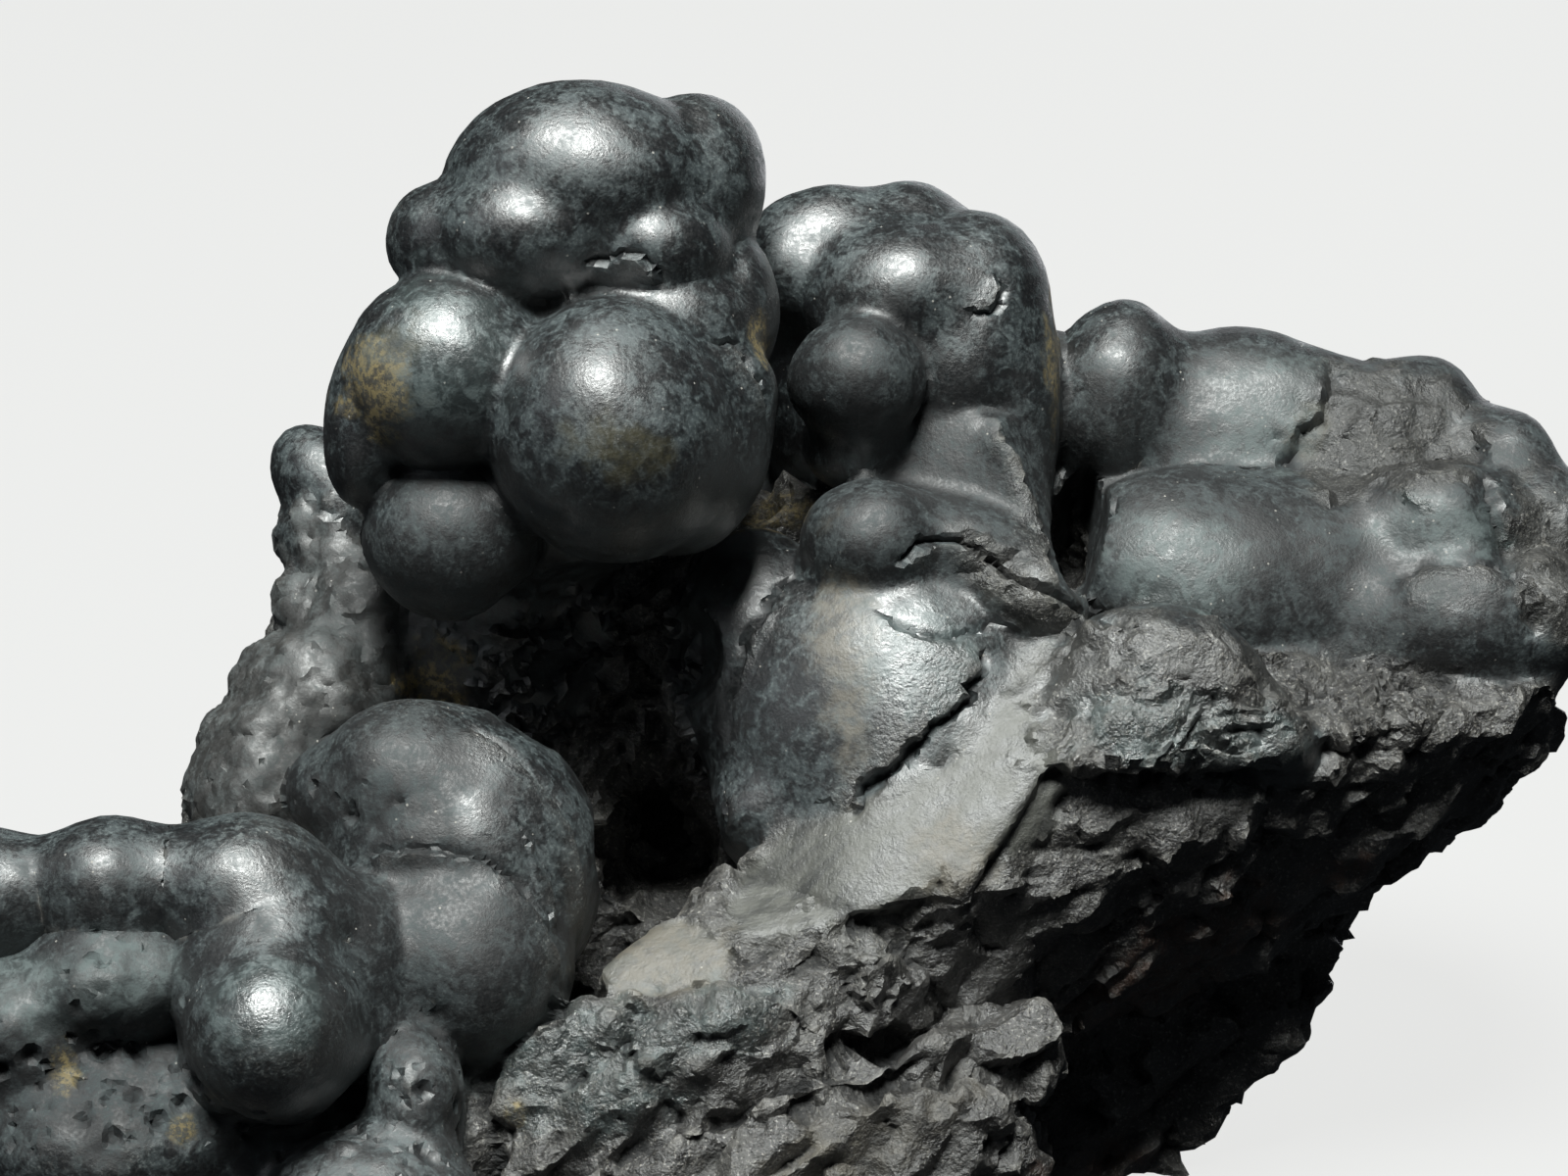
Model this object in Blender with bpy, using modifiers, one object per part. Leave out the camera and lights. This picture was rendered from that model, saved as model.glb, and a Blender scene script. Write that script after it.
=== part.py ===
"""A hand specimen of botryoidal goethite: grape-like black lumps grown together on their own broken rock.

The stone grew as one piece, so it is one object. Its forms are placed as they are seen from the front,
looking a little down: right, up and depth in millimetres from the point that the eye looks at. It rests on
the flat cut under it, and the origin is the point of that cut below the point looked at.
"""

import math
from collections import namedtuple

import bmesh
import bpy
import numpy as np
from mathutils import Matrix, Vector, noise

MM = 0.001

# How the stone is seen from the front.
LOOK_DOWN = math.radians(20)
EYE_DISTANCE = 222 * MM
LOOKED_AT = Vector((0.0, 0.0, 36.0)) * MM

# How fine the solid is.
VOXEL = 0.8 * MM
TRIANGLES = 12400
LUMP_FACES = 4

# How widely forms run into each other: cluster into cluster, and the edges of the broken rock.
SEAM = 0.6 * MM
EDGE = 0.6 * MM

# The broken rock's roughness: flat chips that each tilt their own way and run longer along the grain, with short
# slopes where they meet, and grit. The slopes are in chip widths.
CHIP_TILT = 0.55
CHIP_WIDTH = 5.0 * MM
CHIP_SLOPE = 0.2
GRAIN = Vector((0.84, 0.25, 0.48))
GRIT_HEIGHT = 0.3 * MM
GRIT_WIDTH = 2.4 * MM
SKIN_DEPTH = 1.2 * MM

# A rounded lump: its centre, its half sizes across, up and in depth, its turn in the picture and how far it
# leans back, in degrees.
Lump = namedtuple("Lump", "right up depth wide tall deep turn lean", defaults=(0, 0))

# Lumps, and flat-sided blocks with the same crust, that grew into each other, and how widely the creases between
# them are filled, in millimetres.
Cluster = namedtuple("Cluster", "fill lumps blocks", defaults=((),))

CROWN = Cluster(0.6, [
    Lump(-10.4, 20.6, 1.0, 7.0, 5.2, 7.0),
    Lump(-13.0, 18.0, -0.9, 5.0, 3.7, 5.2),
    Lump(-17.0, 17.6, 0.4, 3.1, 3.2, 3.9),
    Lump(-4.9, 20.1, 3.4, 4.0, 5.1, 5.6, -8),
    Lump(-6.8, 17.2, 0.0, 4.2, 3.4, 5.0),
])
MIDDLE = Cluster(0.8, [
    Lump(-17.0, 11.0, -0.8, 5.6, 5.2, 6.2),
    Lump(-21.2, 8.6, 0.2, 2.4, 4.6, 3.8, -6),
    Lump(-8.8, 8.0, -3.0, 6.3, 6.8, 7.2),
    Lump(-16.9, 2.7, 1.0, 4.6, 4.2, 5.2),
])
MIDDLE_SHELLS = Cluster(0.8, [
    Lump(-5.6, 8.2, 0.2, 5.2, 6.4, 6.0),
    Lump(-2.5, 9.8, -0.6, 2.2, 2.4, 2.8),
    Lump(-6.3, 13.0, 0.4, 5.0, 4.0, 5.0),
    Lump(-2.2, 14.2, 3.0, 2.0, 3.8, 4.0),
])
STEM = Cluster(3.0, [
    Lump(-12.0, 9.0, 6.0, 8.0, 9.0, 7.0),
    Lump(-14.5, -1.0, 12.5, 6.5, 9.0, 6.0),
    Lump(-13.0, 14.5, 9.5, 6.5, 6.0, 6.0),
])
LEFT_RIDGE = Cluster(1.4, [
    Lump(-23.4, 5.6, 14.0, 2.6, 2.7, 3.5),
    Lump(-22.6, 1.6, 13.5, 2.6, 3.4, 4.0),
    Lump(-21.2, -2.4, 12.0, 4.0, 4.6, 5.0),
    Lump(-23.4, -6.6, 10.0, 4.4, 4.6, 6.0),
    Lump(-25.6, -10.4, 8.5, 4.6, 4.6, 6.0),
    Lump(-24.6, 6.9, 14.0, 1.3, 1.3, 1.6),
    Lump(-24.5, 2.6, 12.6, 1.3, 1.5, 2.0),
    Lump(-22.2, 4.4, 11.4, 1.4, 1.6, 1.6),
    Lump(-24.3, -0.8, 11.4, 1.6, 1.4, 1.8),
    Lump(-26.4, -4.4, 9.4, 1.7, 1.5, 2.0),
    Lump(-24.2, -4.0, 6.6, 1.8, 1.6, 1.6),
    Lump(-28.2, -7.4, 8.4, 1.6, 1.3, 2.0),
    Lump(-26.0, -7.4, 5.4, 1.8, 1.5, 1.8),
    Lump(-29.0, -10.2, 7.4, 1.4, 1.6, 2.0),
])
LOWER_LOBES = Cluster(1.4, [
    Lump(-19.3, -9.6, -1.0, 4.4, 3.7, 5.0),
    Lump(-16.6, -14.2, 0.6, 7.4, 8.0, 8.0),
    Lump(-23.3, -10.4, 0.0, 2.2, 2.4, 3.0),
])
FRONT_LOBE = Cluster(1.0, [
    Lump(-16.6, -18.8, -3.4, 5.8, 5.8, 6.2, 20),
    Lump(-20.6, -17.6, -4.4, 4.2, 3.4, 4.2),
])
FOREGROUND = Cluster(2.8, [
    Lump(-27.6, -15.0, -8.0, 4.6, 3.5, 5.0),
    Lump(-34.2, -14.8, -8.5, 3.6, 3.3, 4.5),
    Lump(-40.8, -15.6, -8.0, 4.2, 3.3, 4.5),
    Lump(-26.0, -22.4, -12.0, 4.6, 4.8, 6.0),
    Lump(-26.6, -18.2, -10.0, 4.4, 1.7, 3.6, 26),
    Lump(-21.6, -20.0, -6.5, 3.4, 5.0, 4.0),
    Lump(-34.4, -20.2, -9.5, 3.8, 2.8, 4.5),
    Lump(-39.6, -22.6, -9.5, 4.2, 3.2, 4.5),
    Lump(-18.6, -25.6, -8.5, 2.2, 3.0, 4.0),
    Lump(-21.0, -31.0, -11.0, 5.6, 3.2, 5.0),
    Lump(-34.0, -28.0, -8.0, 7.6, 5.2, 6.5),
])
HOOD = Cluster(1.0, [
    Lump(5.6, -8.0, 7.0, 9.6, 11.0, 9.0),
    Lump(-1.0, -11.4, 4.4, 2.7, 2.9, 4.2),
    Lump(-1.4, -3.6, 8.0, 4.3, 6.6, 5.6),
    Lump(4.6, 2.4, 4.0, 3.8, 3.3, 4.4),
    Lump(8.6, 1.4, 5.8, 5.0, 3.2, 4.8, -16, 12),
    Lump(12.0, -0.6, 5.8, 4.0, 2.8, 5.4, -34),
], [[
    (6.4, 9.4, 7.0), (10.9, 8.9, 4.8), (12.5, 4.4, 4.0), (13.6, 0.6, 3.6), (3.0, 1.0, 5.6), (4.2, 5.8, 6.6),
    (13.0, 9.0, 9.4), (14.2, 1.0, 7.6), (6.0, 10.0, 12), (13.0, 9.0, 12), (14.0, 0.0, 12), (2.6, 1.6, 10),
]])
BACK_CLUSTER = Cluster(1.8, [
    Lump(2.4, 18.0, 12.0, 3.3, 2.6, 3.6),
    Lump(6.3, 18.4, 13.0, 2.6, 2.3, 3.2),
    Lump(5.8, 14.9, 9.4, 4.9, 3.9, 5.0),
    Lump(10.0, 13.6, 10.6, 3.6, 5.4, 5.0),
    Lump(0.0, 16.2, 11.5, 2.3, 2.9, 3.5),
    Lump(8.8, 10.8, 9.8, 3.8, 3.6, 4.4),
    Lump(12.0, 9.0, 12.0, 2.0, 6.5, 5.0),
    Lump(6.0, 11.0, 16.0, 8.0, 9.0, 7.0),
])
SMALL_FRONT_LOBE = Cluster(1.0, [
    Lump(3.7, 10.7, 5.6, 3.5, 3.4, 4.0),
    Lump(3.9, 7.4, 8.6, 2.9, 2.6, 4.0),
])
PLATEAU = Cluster(2.4, [
    Lump(25.6, 1.2, 12.9, 13.2, 8.4, 3.0, -6, 45),
    Lump(16.6, 10.2, 15.4, 3.5, 4.6, 4.6, -20, 10),
    Lump(23.4, 8.2, 16.4, 6.6, 5.3, 4.8, -4, 28),
    Lump(21.4, 0.6, 8.6, 7.0, 5.8, 4.6, -12, 30),
    Lump(27.2, 0.6, 10.2, 6.0, 5.2, 4.4, -22, 36),
    Lump(34.8, -2.2, 7.2, 5.6, 3.6, 4.2, -4, 36),
    Lump(33.6, 2.8, 10.2, 4.6, 3.4, 4.4, -4, 30),
    Lump(30.2, 7.0, 16.0, 5.2, 4.6, 4.4, -20, 34),
    Lump(32.8, 9.2, 17.4, 2.5, 2.5, 3.6),
    Lump(36.2, 5.8, 14.6, 3.0, 3.6, 4.0, -30, 20),
    Lump(39.0, 3.2, 12.2, 2.5, 2.7, 4.0),
    Lump(38.6, -1.6, 8.6, 2.2, 3.0, 4.0),
])
RIM_MOUND = Cluster(1.2, [
    Lump(19.2, -5.0, 1.2, 5.6, 4.1, 4.6, -10, 24),
    Lump(23.6, -7.0, 1.8, 4.0, 2.6, 4.2, -30),
    Lump(15.6, -6.4, 1.4, 3.6, 2.8, 4.4, 20),
])
BACK_LUMPS = Cluster(3.2, [
    Lump(-6.0, 5.0, 19.4, 6.5, 6.0, 6.0),
    Lump(-19.0, 3.0, 19.6, 5.0, 6.5, 6.0),
    Lump(2.0, 9.0, 22.0, 6.0, 5.5, 6.0),
    Lump(12.0, 7.0, 22.4, 5.6, 6.0, 6.0),
    Lump(22.0, 4.0, 24.4, 6.0, 5.6, 6.0),
    Lump(31.0, 2.0, 22.0, 5.4, 5.4, 6.0),
    Lump(-12.5, -2.0, 26.0, 6.4, 6.4, 6.0),
    Lump(-2.5, -3.5, 30.0, 5.0, 5.0, 5.0),
    Lump(-19.0, -9.0, 29.2, 5.6, 5.4, 5.6),
    Lump(7.0, -1.0, 29.2, 4.4, 4.6, 4.6),
    Lump(-10.0, -11.5, 33.4, 4.6, 4.6, 4.6),
    Lump(-23.6, -9.5, 22.0, 4.6, 5.4, 6.0),
    Lump(-26.0, -18.0, 24.0, 4.6, 5.0, 5.0),
    Lump(-12.6, 4.8, 22.0, 3.6, 3.4, 4.2),
    Lump(2.4, 3.4, 27.6, 3.9, 3.5, 4.0),
    Lump(-5.6, 1.6, 26.2, 3.4, 3.6, 4.2),
    Lump(16.6, 1.0, 28.0, 3.7, 3.4, 4.0),
    Lump(27.0, -1.4, 26.4, 3.6, 3.2, 3.8),
    Lump(12.4, -5.4, 31.2, 3.0, 2.8, 3.4),
    Lump(-6.4, -8.2, 32.2, 3.3, 3.0, 3.6),
    Lump(-15.4, -7.0, 30.6, 3.4, 3.2, 3.6),
    Lump(-23.0, -3.0, 25.4, 3.2, 3.4, 3.8),
    Lump(-15.2, -14.6, 33.2, 3.0, 2.8, 3.4),
    Lump(-24.6, -14.0, 27.0, 3.0, 3.0, 3.8),
    Lump(1.6, -8.0, 32.4, 2.6, 2.4, 3.0),
])
CLUSTERS = [
    CROWN, MIDDLE, MIDDLE_SHELLS, STEM, LEFT_RIDGE, LOWER_LOBES, FRONT_LOBE, FOREGROUND, HOOD,
    BACK_CLUSTER, SMALL_FRONT_LOBE, PLATEAU, RIM_MOUND, BACK_LUMPS,
]

# The broken rock: each block is the convex body round its corners, which are (right, up, depth).
PLATEAU_ROCK = [
    (14, -8, -1), (16, -8.8, -1), (27, -7.6, 0), (31, -7.2, 1), (36, -6.6, 3), (39.6, -4.4, 5),
    (40.6, -1, 9), (40.6, 3, 13), (38, 6, 17), (33, 8.6, 19), (26, 10.4, 21), (20, 10.6, 21), (14, 11, 20),
    (13, 4, 12), (14, -2, 6), (39.6, -8, 9), (36, -12, 11), (31.6, -14.4, 12), (20, -13, 8),
    (38, 0, 23), (30, 3, 28), (16, 3, 30), (30, -12, 26), (16, -16, 28), (12, -14, 10),
]
RIM = [
    (14, -3.2, 2.4), (15.6, -1.6, 2.4), (18, -0.8, 1.4), (20, -1.0, 1.0), (22, -2.4, 1.0), (24, -4.8, 0.6),
    (26, -6.4, 0.6), (27, -7.6, 0.6), (13.2, -9.2, -4), (14.4, -7.8, -4), (16.4, -9, -5), (20, -9.3, -5),
    (24, -8.8, -3), (17, -4.2, -3.2), (21, -4.6, -2.8), (20, -10, 2), (14, -10, 2),
]
UPPER_FACE = [
    (8.3, -16.5, -4.4), (12.6, -11.2, -3.4), (13.4, -9.6, -3.2), (20, -10, -0.6), (26.6, -8.6, 0.6), (30, -8, 2),
    (36, -8, 4), (39.6, -8, 8), (36.4, -11.4, 10), (35, -12.6, 10.5), (31.5, -14.5, 11), (30, -16, 11.5),
    (22, -19.5, 9.6), (16, -23, 8), (8, -22.4, 1), (4.4, -21.6, -2.4), (4.2, -17.2, -3.4),
    (30, -12, 26), (12, -18, 28), (4, -20, 6),
]
LOWER_FACE = [
    (30, -15.5, 15), (28.4, -19, 15), (26.8, -22.3, 15), (24, -23.4, 15), (23.4, -26.4, 15.5), (20, -29.4, 16),
    (14, -36, 18), (10, -37, 18), (4, -24, 10), (12, -20, 11), (28, -16, 26), (22, -24, 27), (12, -36, 32),
    (-4, -38, 22), (-4, -24, 12),
]
SLAB = [
    (-2.4, -14.4, 0.2), (3.4, -16.7, -5.0), (8.3, -16.1, -5.4), (10.2, -14.2, -4.9), (12.3, -11.4, -4.3),
    (13.2, -9.4, -3.8), (14.2, -7.6, -3.0), (14.6, -3.4, 0.2), (10.5, -0.6, 3.6), (4, -4, 1.4),
    (0, -14, 10), (12, -8, 10), (4, -17, 6), (12, -14, 6),
]
SLAB_FOOT = [
    (-2.8, -14.6, 0.2), (-3.8, -17.4, -2.6), (-5.4, -17.5, -3.0), (-8.2, -18.2, -3.6), (-9.7, -19.3, -4.0),
    (-9.2, -20.9, -5.4), (-5.0, -21.2, -6.2), (-0.2, -20.0, -6.8), (3.4, -16.7, -5.0), (0, -14.4, -0.6),
    (-7, -20, 6), (4, -19, 6), (-2, -15, 8),
]
UNDER_SLAB = [
    (0.2, -20.2, -6.4), (3.4, -17.3, -4.8), (5.2, -18.4, -5.6), (6.5, -20.2, -5.0), (6.2, -21.6, -4.8),
    (3.2, -23.6, -6.4), (0.4, -22.8, -7.0), (-1.6, -20.6, -7.0), (0, -20, 4), (8, -17.5, 4), (9, -22.5, 4), (2, -25, 2),
]
FRONT_CREST = [
    (-15.0, -24.0, -6), (-12.4, -20.8, -6), (-10.0, -20.4, -6.6), (-6.2, -21.4, -7.4), (-4.0, -20.6, -7.4),
    (0.0, -20.8, -7.6), (2.8, -22.8, -7), (-14.6, -29, -8), (-9, -27, -8.8), (-5, -22.8, -8.2), (-8, -23, -8.4),
    (-14, -24, 6), (4, -24, 6), (1, -24.6, -4), (-13, -44, -6), (-6, -44, -6), (-6, -44, 14), (-14, -44, 14),
]
FOOT_LEDGE = [
    (-2.2, -27.6, -8.4), (0, -25.9, -8.2), (2.8, -25.0, -7.4), (7.2, -23.3, -5.4), (10.6, -22.1, -3.6),
    (13.7, -21.2, -1.6), (14.6, -24.2, -1.2), (12.4, -25.4, -2.6), (8, -26, -5), (2, -28, -6.6),
    (-8, -26, 6), (14, -26, 8), (8, -23, 8), (0, -27, 4),
]
FRONT_FOOT = [
    (-3.2, -28.8, -9.0), (3.0, -26.9, -8.6), (7.0, -25.5, -7.2), (9.6, -25.5, -6.2), (12.4, -27.3, -4.6),
    (11.0, -30.6, -5.2), (12.4, -34, -3), (-10, -29.6, -9.0), (-14, -46, -9), (0, -46, -9), (10, -44, -2),
    (13, -27, 12), (-10, -26, 8), (14, -38, 20), (-12, -44, 14),
]
LEFT_FOOT = [
    (-44.6, -18, -4), (-44.6, -30, -7), (-36, -29, -10.5), (-28, -29, -12), (-18, -29, -10), (-14, -23, -4),
    (-42.5, -47, -7), (-30, -47, -11), (-14, -47, -10), (-42, -16, 6), (-30, -13, 8), (-38, -44, 22),
    (-14, -18, 12), (-14, -44, 24), (-34, -17, 12), (-42, -24, 12),
]
LEFT_RISE = [
    (-25.4, -4.6, 12), (-28.6, -8.4, 10), (-30.0, -10.0, 9), (-30.0, -16.0, 6), (-20, -4, 9), (-16, -7, 8),
    (-14, -12, 8), (-14, -20, 4), (-28, -8, 22), (-16, 0, 22), (-31, -20, 22), (-14, -24, 24), (-34, -30, 26),
]
BACK_LEFT = [
    (-30, -14, 16), (-22, -4, 20), (-8, 2, 20), (-4, 0, 30), (-20, -8, 30), (-34, -30, 26), (-36, -44, 26),
    (-20, -44, 41), (-6, -44, 42), (-4, -14, 37), (-26, -20, 30), (-6, -12, 12), (-6, -40, 14), (-30, -40, 12),
]
BACK_MIDDLE = [
    (-18, 2, 12), (-4, 2, 9.5), (-4, -10, 9.5), (-16, -9, 9.5), (-12, 4, 24), (8, 7, 24), (14, 4, 28),
    (16, -2, 32), (14, -18, 34), (10, -44, 40), (-12, -44, 42), (-10, -8, 34), (8, 6, 12), (12, -20, 12),
    (-10, -40, 12), (10, -40, 16),
]
BACK_RIGHT = [
    (8, 6, 20), (16, 4, 20), (30, 2, 20), (30, -4, 29), (24, -12, 33), (16, -8, 36), (8, -4, 36), (24, -22, 30),
    (18, -34, 28), (8, -42, 30), (8, -40, 38), (16, -26, 37), (10, -14, 12), (14, -34, 18),
]
BLOCKS = [
    PLATEAU_ROCK, RIM, UPPER_FACE, LOWER_FACE, SLAB, SLAB_FOOT, UNDER_SLAB, FRONT_CREST, FOOT_LEDGE, FRONT_FOOT,
    LEFT_FOOT, LEFT_RISE, BACK_LEFT, BACK_MIDDLE, BACK_RIGHT,
]

# Where the rock broke smooth: bodies shaped as lumps are, inside which it has no chips.
SMOOTH_ROCK = [
    Lump(4.4, -13.6, -1.4, 9.0, 4.0, 7.0, 30),
    Lump(9.6, -9.4, -1.0, 7.4, 5.2, 7.0, 52),
    Lump(-6.4, -19.0, -4.0, 4.4, 2.6, 4.0, 8),
    Lump(12.0, -2.8, 1.0, 5.0, 4.4, 6.0, -34),
    Lump(4.6, -18.0, -4.4, 3.0, 2.0, 3.0, -20),
]

# Hollows between the forms, shaped as lumps are.
HOLLOWS = [
    Lump(-6.6, -12.8, 6.0, 3.5, 4.6, 12.0, 6),
    Lump(-9.5, -3.5, 1.0, 6.6, 5.0, 8.5, 4),
    Lump(14.7, 2.4, 10.0, 1.6, 4.5, 9.0, -14),
]


def from_front(right, up, depth):
    """The place of a point that the eye sees at right and up, and that lies this far behind the point looked at."""
    nearer = 1 + depth * MM / EYE_DISTANCE
    sideways = Vector((1, 0, 0)) * right * nearer
    upwards = Vector((0, math.sin(LOOK_DOWN), math.cos(LOOK_DOWN))) * up * nearer
    away = Vector((0, math.cos(LOOK_DOWN), -math.sin(LOOK_DOWN))) * depth
    return LOOKED_AT + (sideways + upwards + away) * MM


def half_sizes(lump):
    nearer = 1 + lump.depth * MM / EYE_DISTANCE
    return Vector((lump.wide * nearer, lump.deep, lump.tall * nearer)) * MM


def frame_of(lump):
    """The matrix that turns a unit ball into the lump."""
    turn = Matrix.Rotation(-LOOK_DOWN, 4, "X") @ Matrix.Rotation(-math.radians(lump.turn), 4, "Y")
    turn = turn @ Matrix.Rotation(-math.radians(lump.lean), 4, "X")
    size = Matrix.Diagonal((*half_sizes(lump), 1))
    return Matrix.Translation(from_front(lump.right, lump.up, lump.depth)) @ turn @ size


def add_lump(bm, lump):
    bmesh.ops.create_icosphere(bm, subdivisions=LUMP_FACES, radius=1.0, matrix=frame_of(lump))


def add_block(bm, corners):
    points = [bm.verts.new(from_front(*corner)) for corner in corners]
    hull = bmesh.ops.convex_hull(bm, input=points)
    inside = {v for v in hull["geom_interior"] if isinstance(v, bmesh.types.BMVert)}
    bmesh.ops.delete(bm, geom=list(inside), context="VERTS")


def object_from(bm, name, collection):
    mesh = bpy.data.meshes.new(name)
    bm.to_mesh(mesh)
    bm.free()
    made = bpy.data.objects.new(name, mesh)
    collection.objects.link(made)
    return made


def evaluated(obj):
    """The object's mesh after its modifiers, which are then removed."""
    bpy.context.view_layer.update()
    graph = bpy.context.evaluated_depsgraph_get()
    mesh = bpy.data.meshes.new_from_object(obj.evaluated_get(graph))
    obj.modifiers.clear()
    obj.data = mesh
    return mesh


def remesh(obj):
    modifier = obj.modifiers.new("one skin", "REMESH")
    modifier.mode = "VOXEL"
    modifier.voxel_size = VOXEL
    evaluated(obj)


def cut_hollows(obj, cutters):
    for number, hollow in enumerate(HOLLOWS):
        bm = bmesh.new()
        add_lump(bm, hollow)
        cutter = object_from(bm, f"hollow_{number}", cutters)
        cutter.hide_render = True
        cutter.display_type = "WIRE"
        modifier = obj.modifiers.new("hollow", "BOOLEAN")
        modifier.operation = "DIFFERENCE"
        modifier.object = cutter
    evaluated(obj)


def coordinates(mesh):
    points = np.empty(len(mesh.vertices) * 3)
    mesh.vertices.foreach_get("co", points)
    return points.reshape(-1, 3)


def outside_lump(points, lump):
    """How far each point lies outside the lump, in metres; negative inside it."""
    inverse = np.array(frame_of(lump).inverted())
    local = points @ inverse[:3, :3].T + inverse[:3, 3]
    reach = np.linalg.norm(local, axis=1)
    steepness = np.linalg.norm(local / np.array(half_sizes(lump)), axis=1)
    return reach * (reach - 1) / np.maximum(steepness, 1e-9)


def outside_block(points, corners):
    bm = bmesh.new()
    add_block(bm, corners)
    bmesh.ops.recalc_face_normals(bm, faces=bm.faces[:])
    farthest = None
    for face in bm.faces:
        flat = points @ np.array(face.normal) - face.normal.dot(face.verts[0].co)
        farthest = flat if farthest is None else -melted(-farthest, -flat, EDGE)
    bm.free()
    return farthest


def melted(first, second, width):
    """The nearer of two distances, with the crease between them filled over this width."""
    near = np.clip(1 - np.abs(first - second) / width, 0, 1)
    return np.minimum(first, second) - near * near * width / 4


def outside_clusters(points):
    nearest = np.full(len(points), 1.0)
    for cluster in CLUSTERS:
        together = np.full(len(points), 1.0)
        for lump in cluster.lumps:
            together = melted(together, outside_lump(points, lump), cluster.fill * MM)
        for corners in cluster.blocks:
            together = melted(together, outside_block(points, corners), cluster.fill * MM)
        nearest = melted(nearest, together, SEAM)
    return nearest


def outside_rock(points):
    nearest = np.full(len(points), 1.0)
    for corners in BLOCKS:
        nearest = np.minimum(nearest, outside_block(points, corners))
    return nearest


def settle(mesh):
    """Fills the creases between lumps, and rounds the hollows' edges, by moving the skin along its normals."""
    points = coordinates(mesh)
    normals = np.array([v.normal for v in mesh.vertices])
    away = melted(outside_clusters(points), outside_rock(points), SEAM)
    for hollow in HOLLOWS:
        away = np.maximum(away, -outside_lump(points, hollow))
    points -= normals * np.clip(away, -VOXEL, VOXEL)[:, None]
    mesh.vertices.foreach_set("co", points.ravel())
    mesh.update()


def chip(place):
    """How far the rock's flat chips stand out at a place, in metres."""
    spot = (place - GRAIN * place.dot(GRAIN) / 3) / CHIP_WIDTH
    reaches, centres = noise.voronoi(spot)
    first, second = (
        (noise.cell_vector(centre * 10) - Vector((0.5, 0.5, 0.5))).dot(spot - centre) for centre in centres[:2])
    share = max(0.0, 1 - (reaches[1] - reaches[0]) / CHIP_SLOPE)
    return CHIP_TILT * CHIP_WIDTH * (first + (second - first) * share / 2)


def roughen(mesh):
    """Chips and grit on the broken rock, and none on the smooth lumps or where the rock broke smooth."""
    points = coordinates(mesh)
    bare = np.clip(outside_clusters(points) / SKIN_DEPTH, 0, 1)
    for stretch in SMOOTH_ROCK:
        bare *= np.clip(outside_lump(points, stretch) / SKIN_DEPTH + 1, 0.05, 1)
    normals = np.array([v.normal for v in mesh.vertices])
    for index in np.nonzero(bare > 0)[0]:
        place = Vector(points[index])
        lift = chip(place) + GRIT_HEIGHT * noise.noise(place / GRIT_WIDTH)
        points[index] += normals[index] * lift * bare[index]
    mesh.vertices.foreach_set("co", points.ravel())
    mesh.update()


def simplify(obj):
    mesh = obj.data
    triangles = sum(len(face.vertices) - 2 for face in mesh.polygons)
    modifier = obj.modifiers.new("fewer faces", "DECIMATE")
    modifier.ratio = TRIANGLES / triangles
    evaluated(obj)


def cut_base(obj):
    """Cuts the stone off flat at the height of the surface that it rests on."""
    bm = bmesh.new()
    bm.from_mesh(obj.data)
    everything = bm.verts[:] + bm.edges[:] + bm.faces[:]
    cut = bmesh.ops.bisect_plane(bm, geom=everything, plane_co=(0, 0, 0), plane_no=(0, 0, -1), clear_outer=True)
    rim = [e for e in cut["geom_cut"] if isinstance(e, bmesh.types.BMEdge)]
    bmesh.ops.holes_fill(bm, edges=rim)
    bmesh.ops.triangulate(bm, faces=bm.faces[:])
    bmesh.ops.recalc_face_normals(bm, faces=bm.faces[:])
    bm.to_mesh(obj.data)
    bm.free()


def goethite_material():
    material = bpy.data.materials.new("goethite")
    material.use_nodes = True
    shader = material.node_tree.nodes["Principled BSDF"]
    shader.inputs["Base Color"].default_value = (0.045, 0.050, 0.052, 1)
    shader.inputs["Roughness"].default_value = 0.42
    shader.inputs["Metallic"].default_value = 0.35
    return material


def main():
    for obj in list(bpy.data.objects):
        bpy.data.objects.remove(obj)
    stone_parts = bpy.data.collections.new("goethite specimen")
    cutters = bpy.data.collections.new("cutters")
    for collection in (stone_parts, cutters):
        bpy.context.scene.collection.children.link(collection)

    bm = bmesh.new()
    for cluster in CLUSTERS:
        for corners in cluster.blocks:
            add_block(bm, corners)
        for lump in cluster.lumps:
            add_lump(bm, lump)
    for corners in BLOCKS:
        add_block(bm, corners)
    stone = object_from(bm, "goethite", stone_parts)
    remesh(stone)
    cut_hollows(stone, cutters)
    remesh(stone)
    settle(stone.data)
    roughen(stone.data)
    simplify(stone)
    cut_base(stone)
    stone.data.materials.clear()
    stone.data.materials.append(goethite_material())
    stone.data.shade_smooth()


main()
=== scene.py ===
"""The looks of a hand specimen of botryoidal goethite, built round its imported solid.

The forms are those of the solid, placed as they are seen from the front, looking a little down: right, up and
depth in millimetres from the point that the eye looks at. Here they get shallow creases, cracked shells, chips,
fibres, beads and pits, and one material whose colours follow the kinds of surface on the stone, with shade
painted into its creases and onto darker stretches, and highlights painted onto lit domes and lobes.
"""

import math
from collections import Counter, namedtuple

import bmesh
import bpy
import numpy as np
from mathutils import Matrix, Vector, noise


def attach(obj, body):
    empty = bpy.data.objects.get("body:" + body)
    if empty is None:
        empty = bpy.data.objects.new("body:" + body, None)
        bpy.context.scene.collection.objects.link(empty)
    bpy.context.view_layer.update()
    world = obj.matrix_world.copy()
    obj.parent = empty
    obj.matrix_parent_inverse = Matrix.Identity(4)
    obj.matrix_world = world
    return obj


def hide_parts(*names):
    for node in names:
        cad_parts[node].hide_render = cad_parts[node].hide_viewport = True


MM = 0.001

# How the stone is seen from the front.
LOOK_DOWN = math.radians(20)
EYE_DISTANCE = 222 * MM
LOOKED_AT = Vector((0.0, 0.0, 36.0)) * MM
PICTURE_WIDTH = 80 * MM

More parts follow.
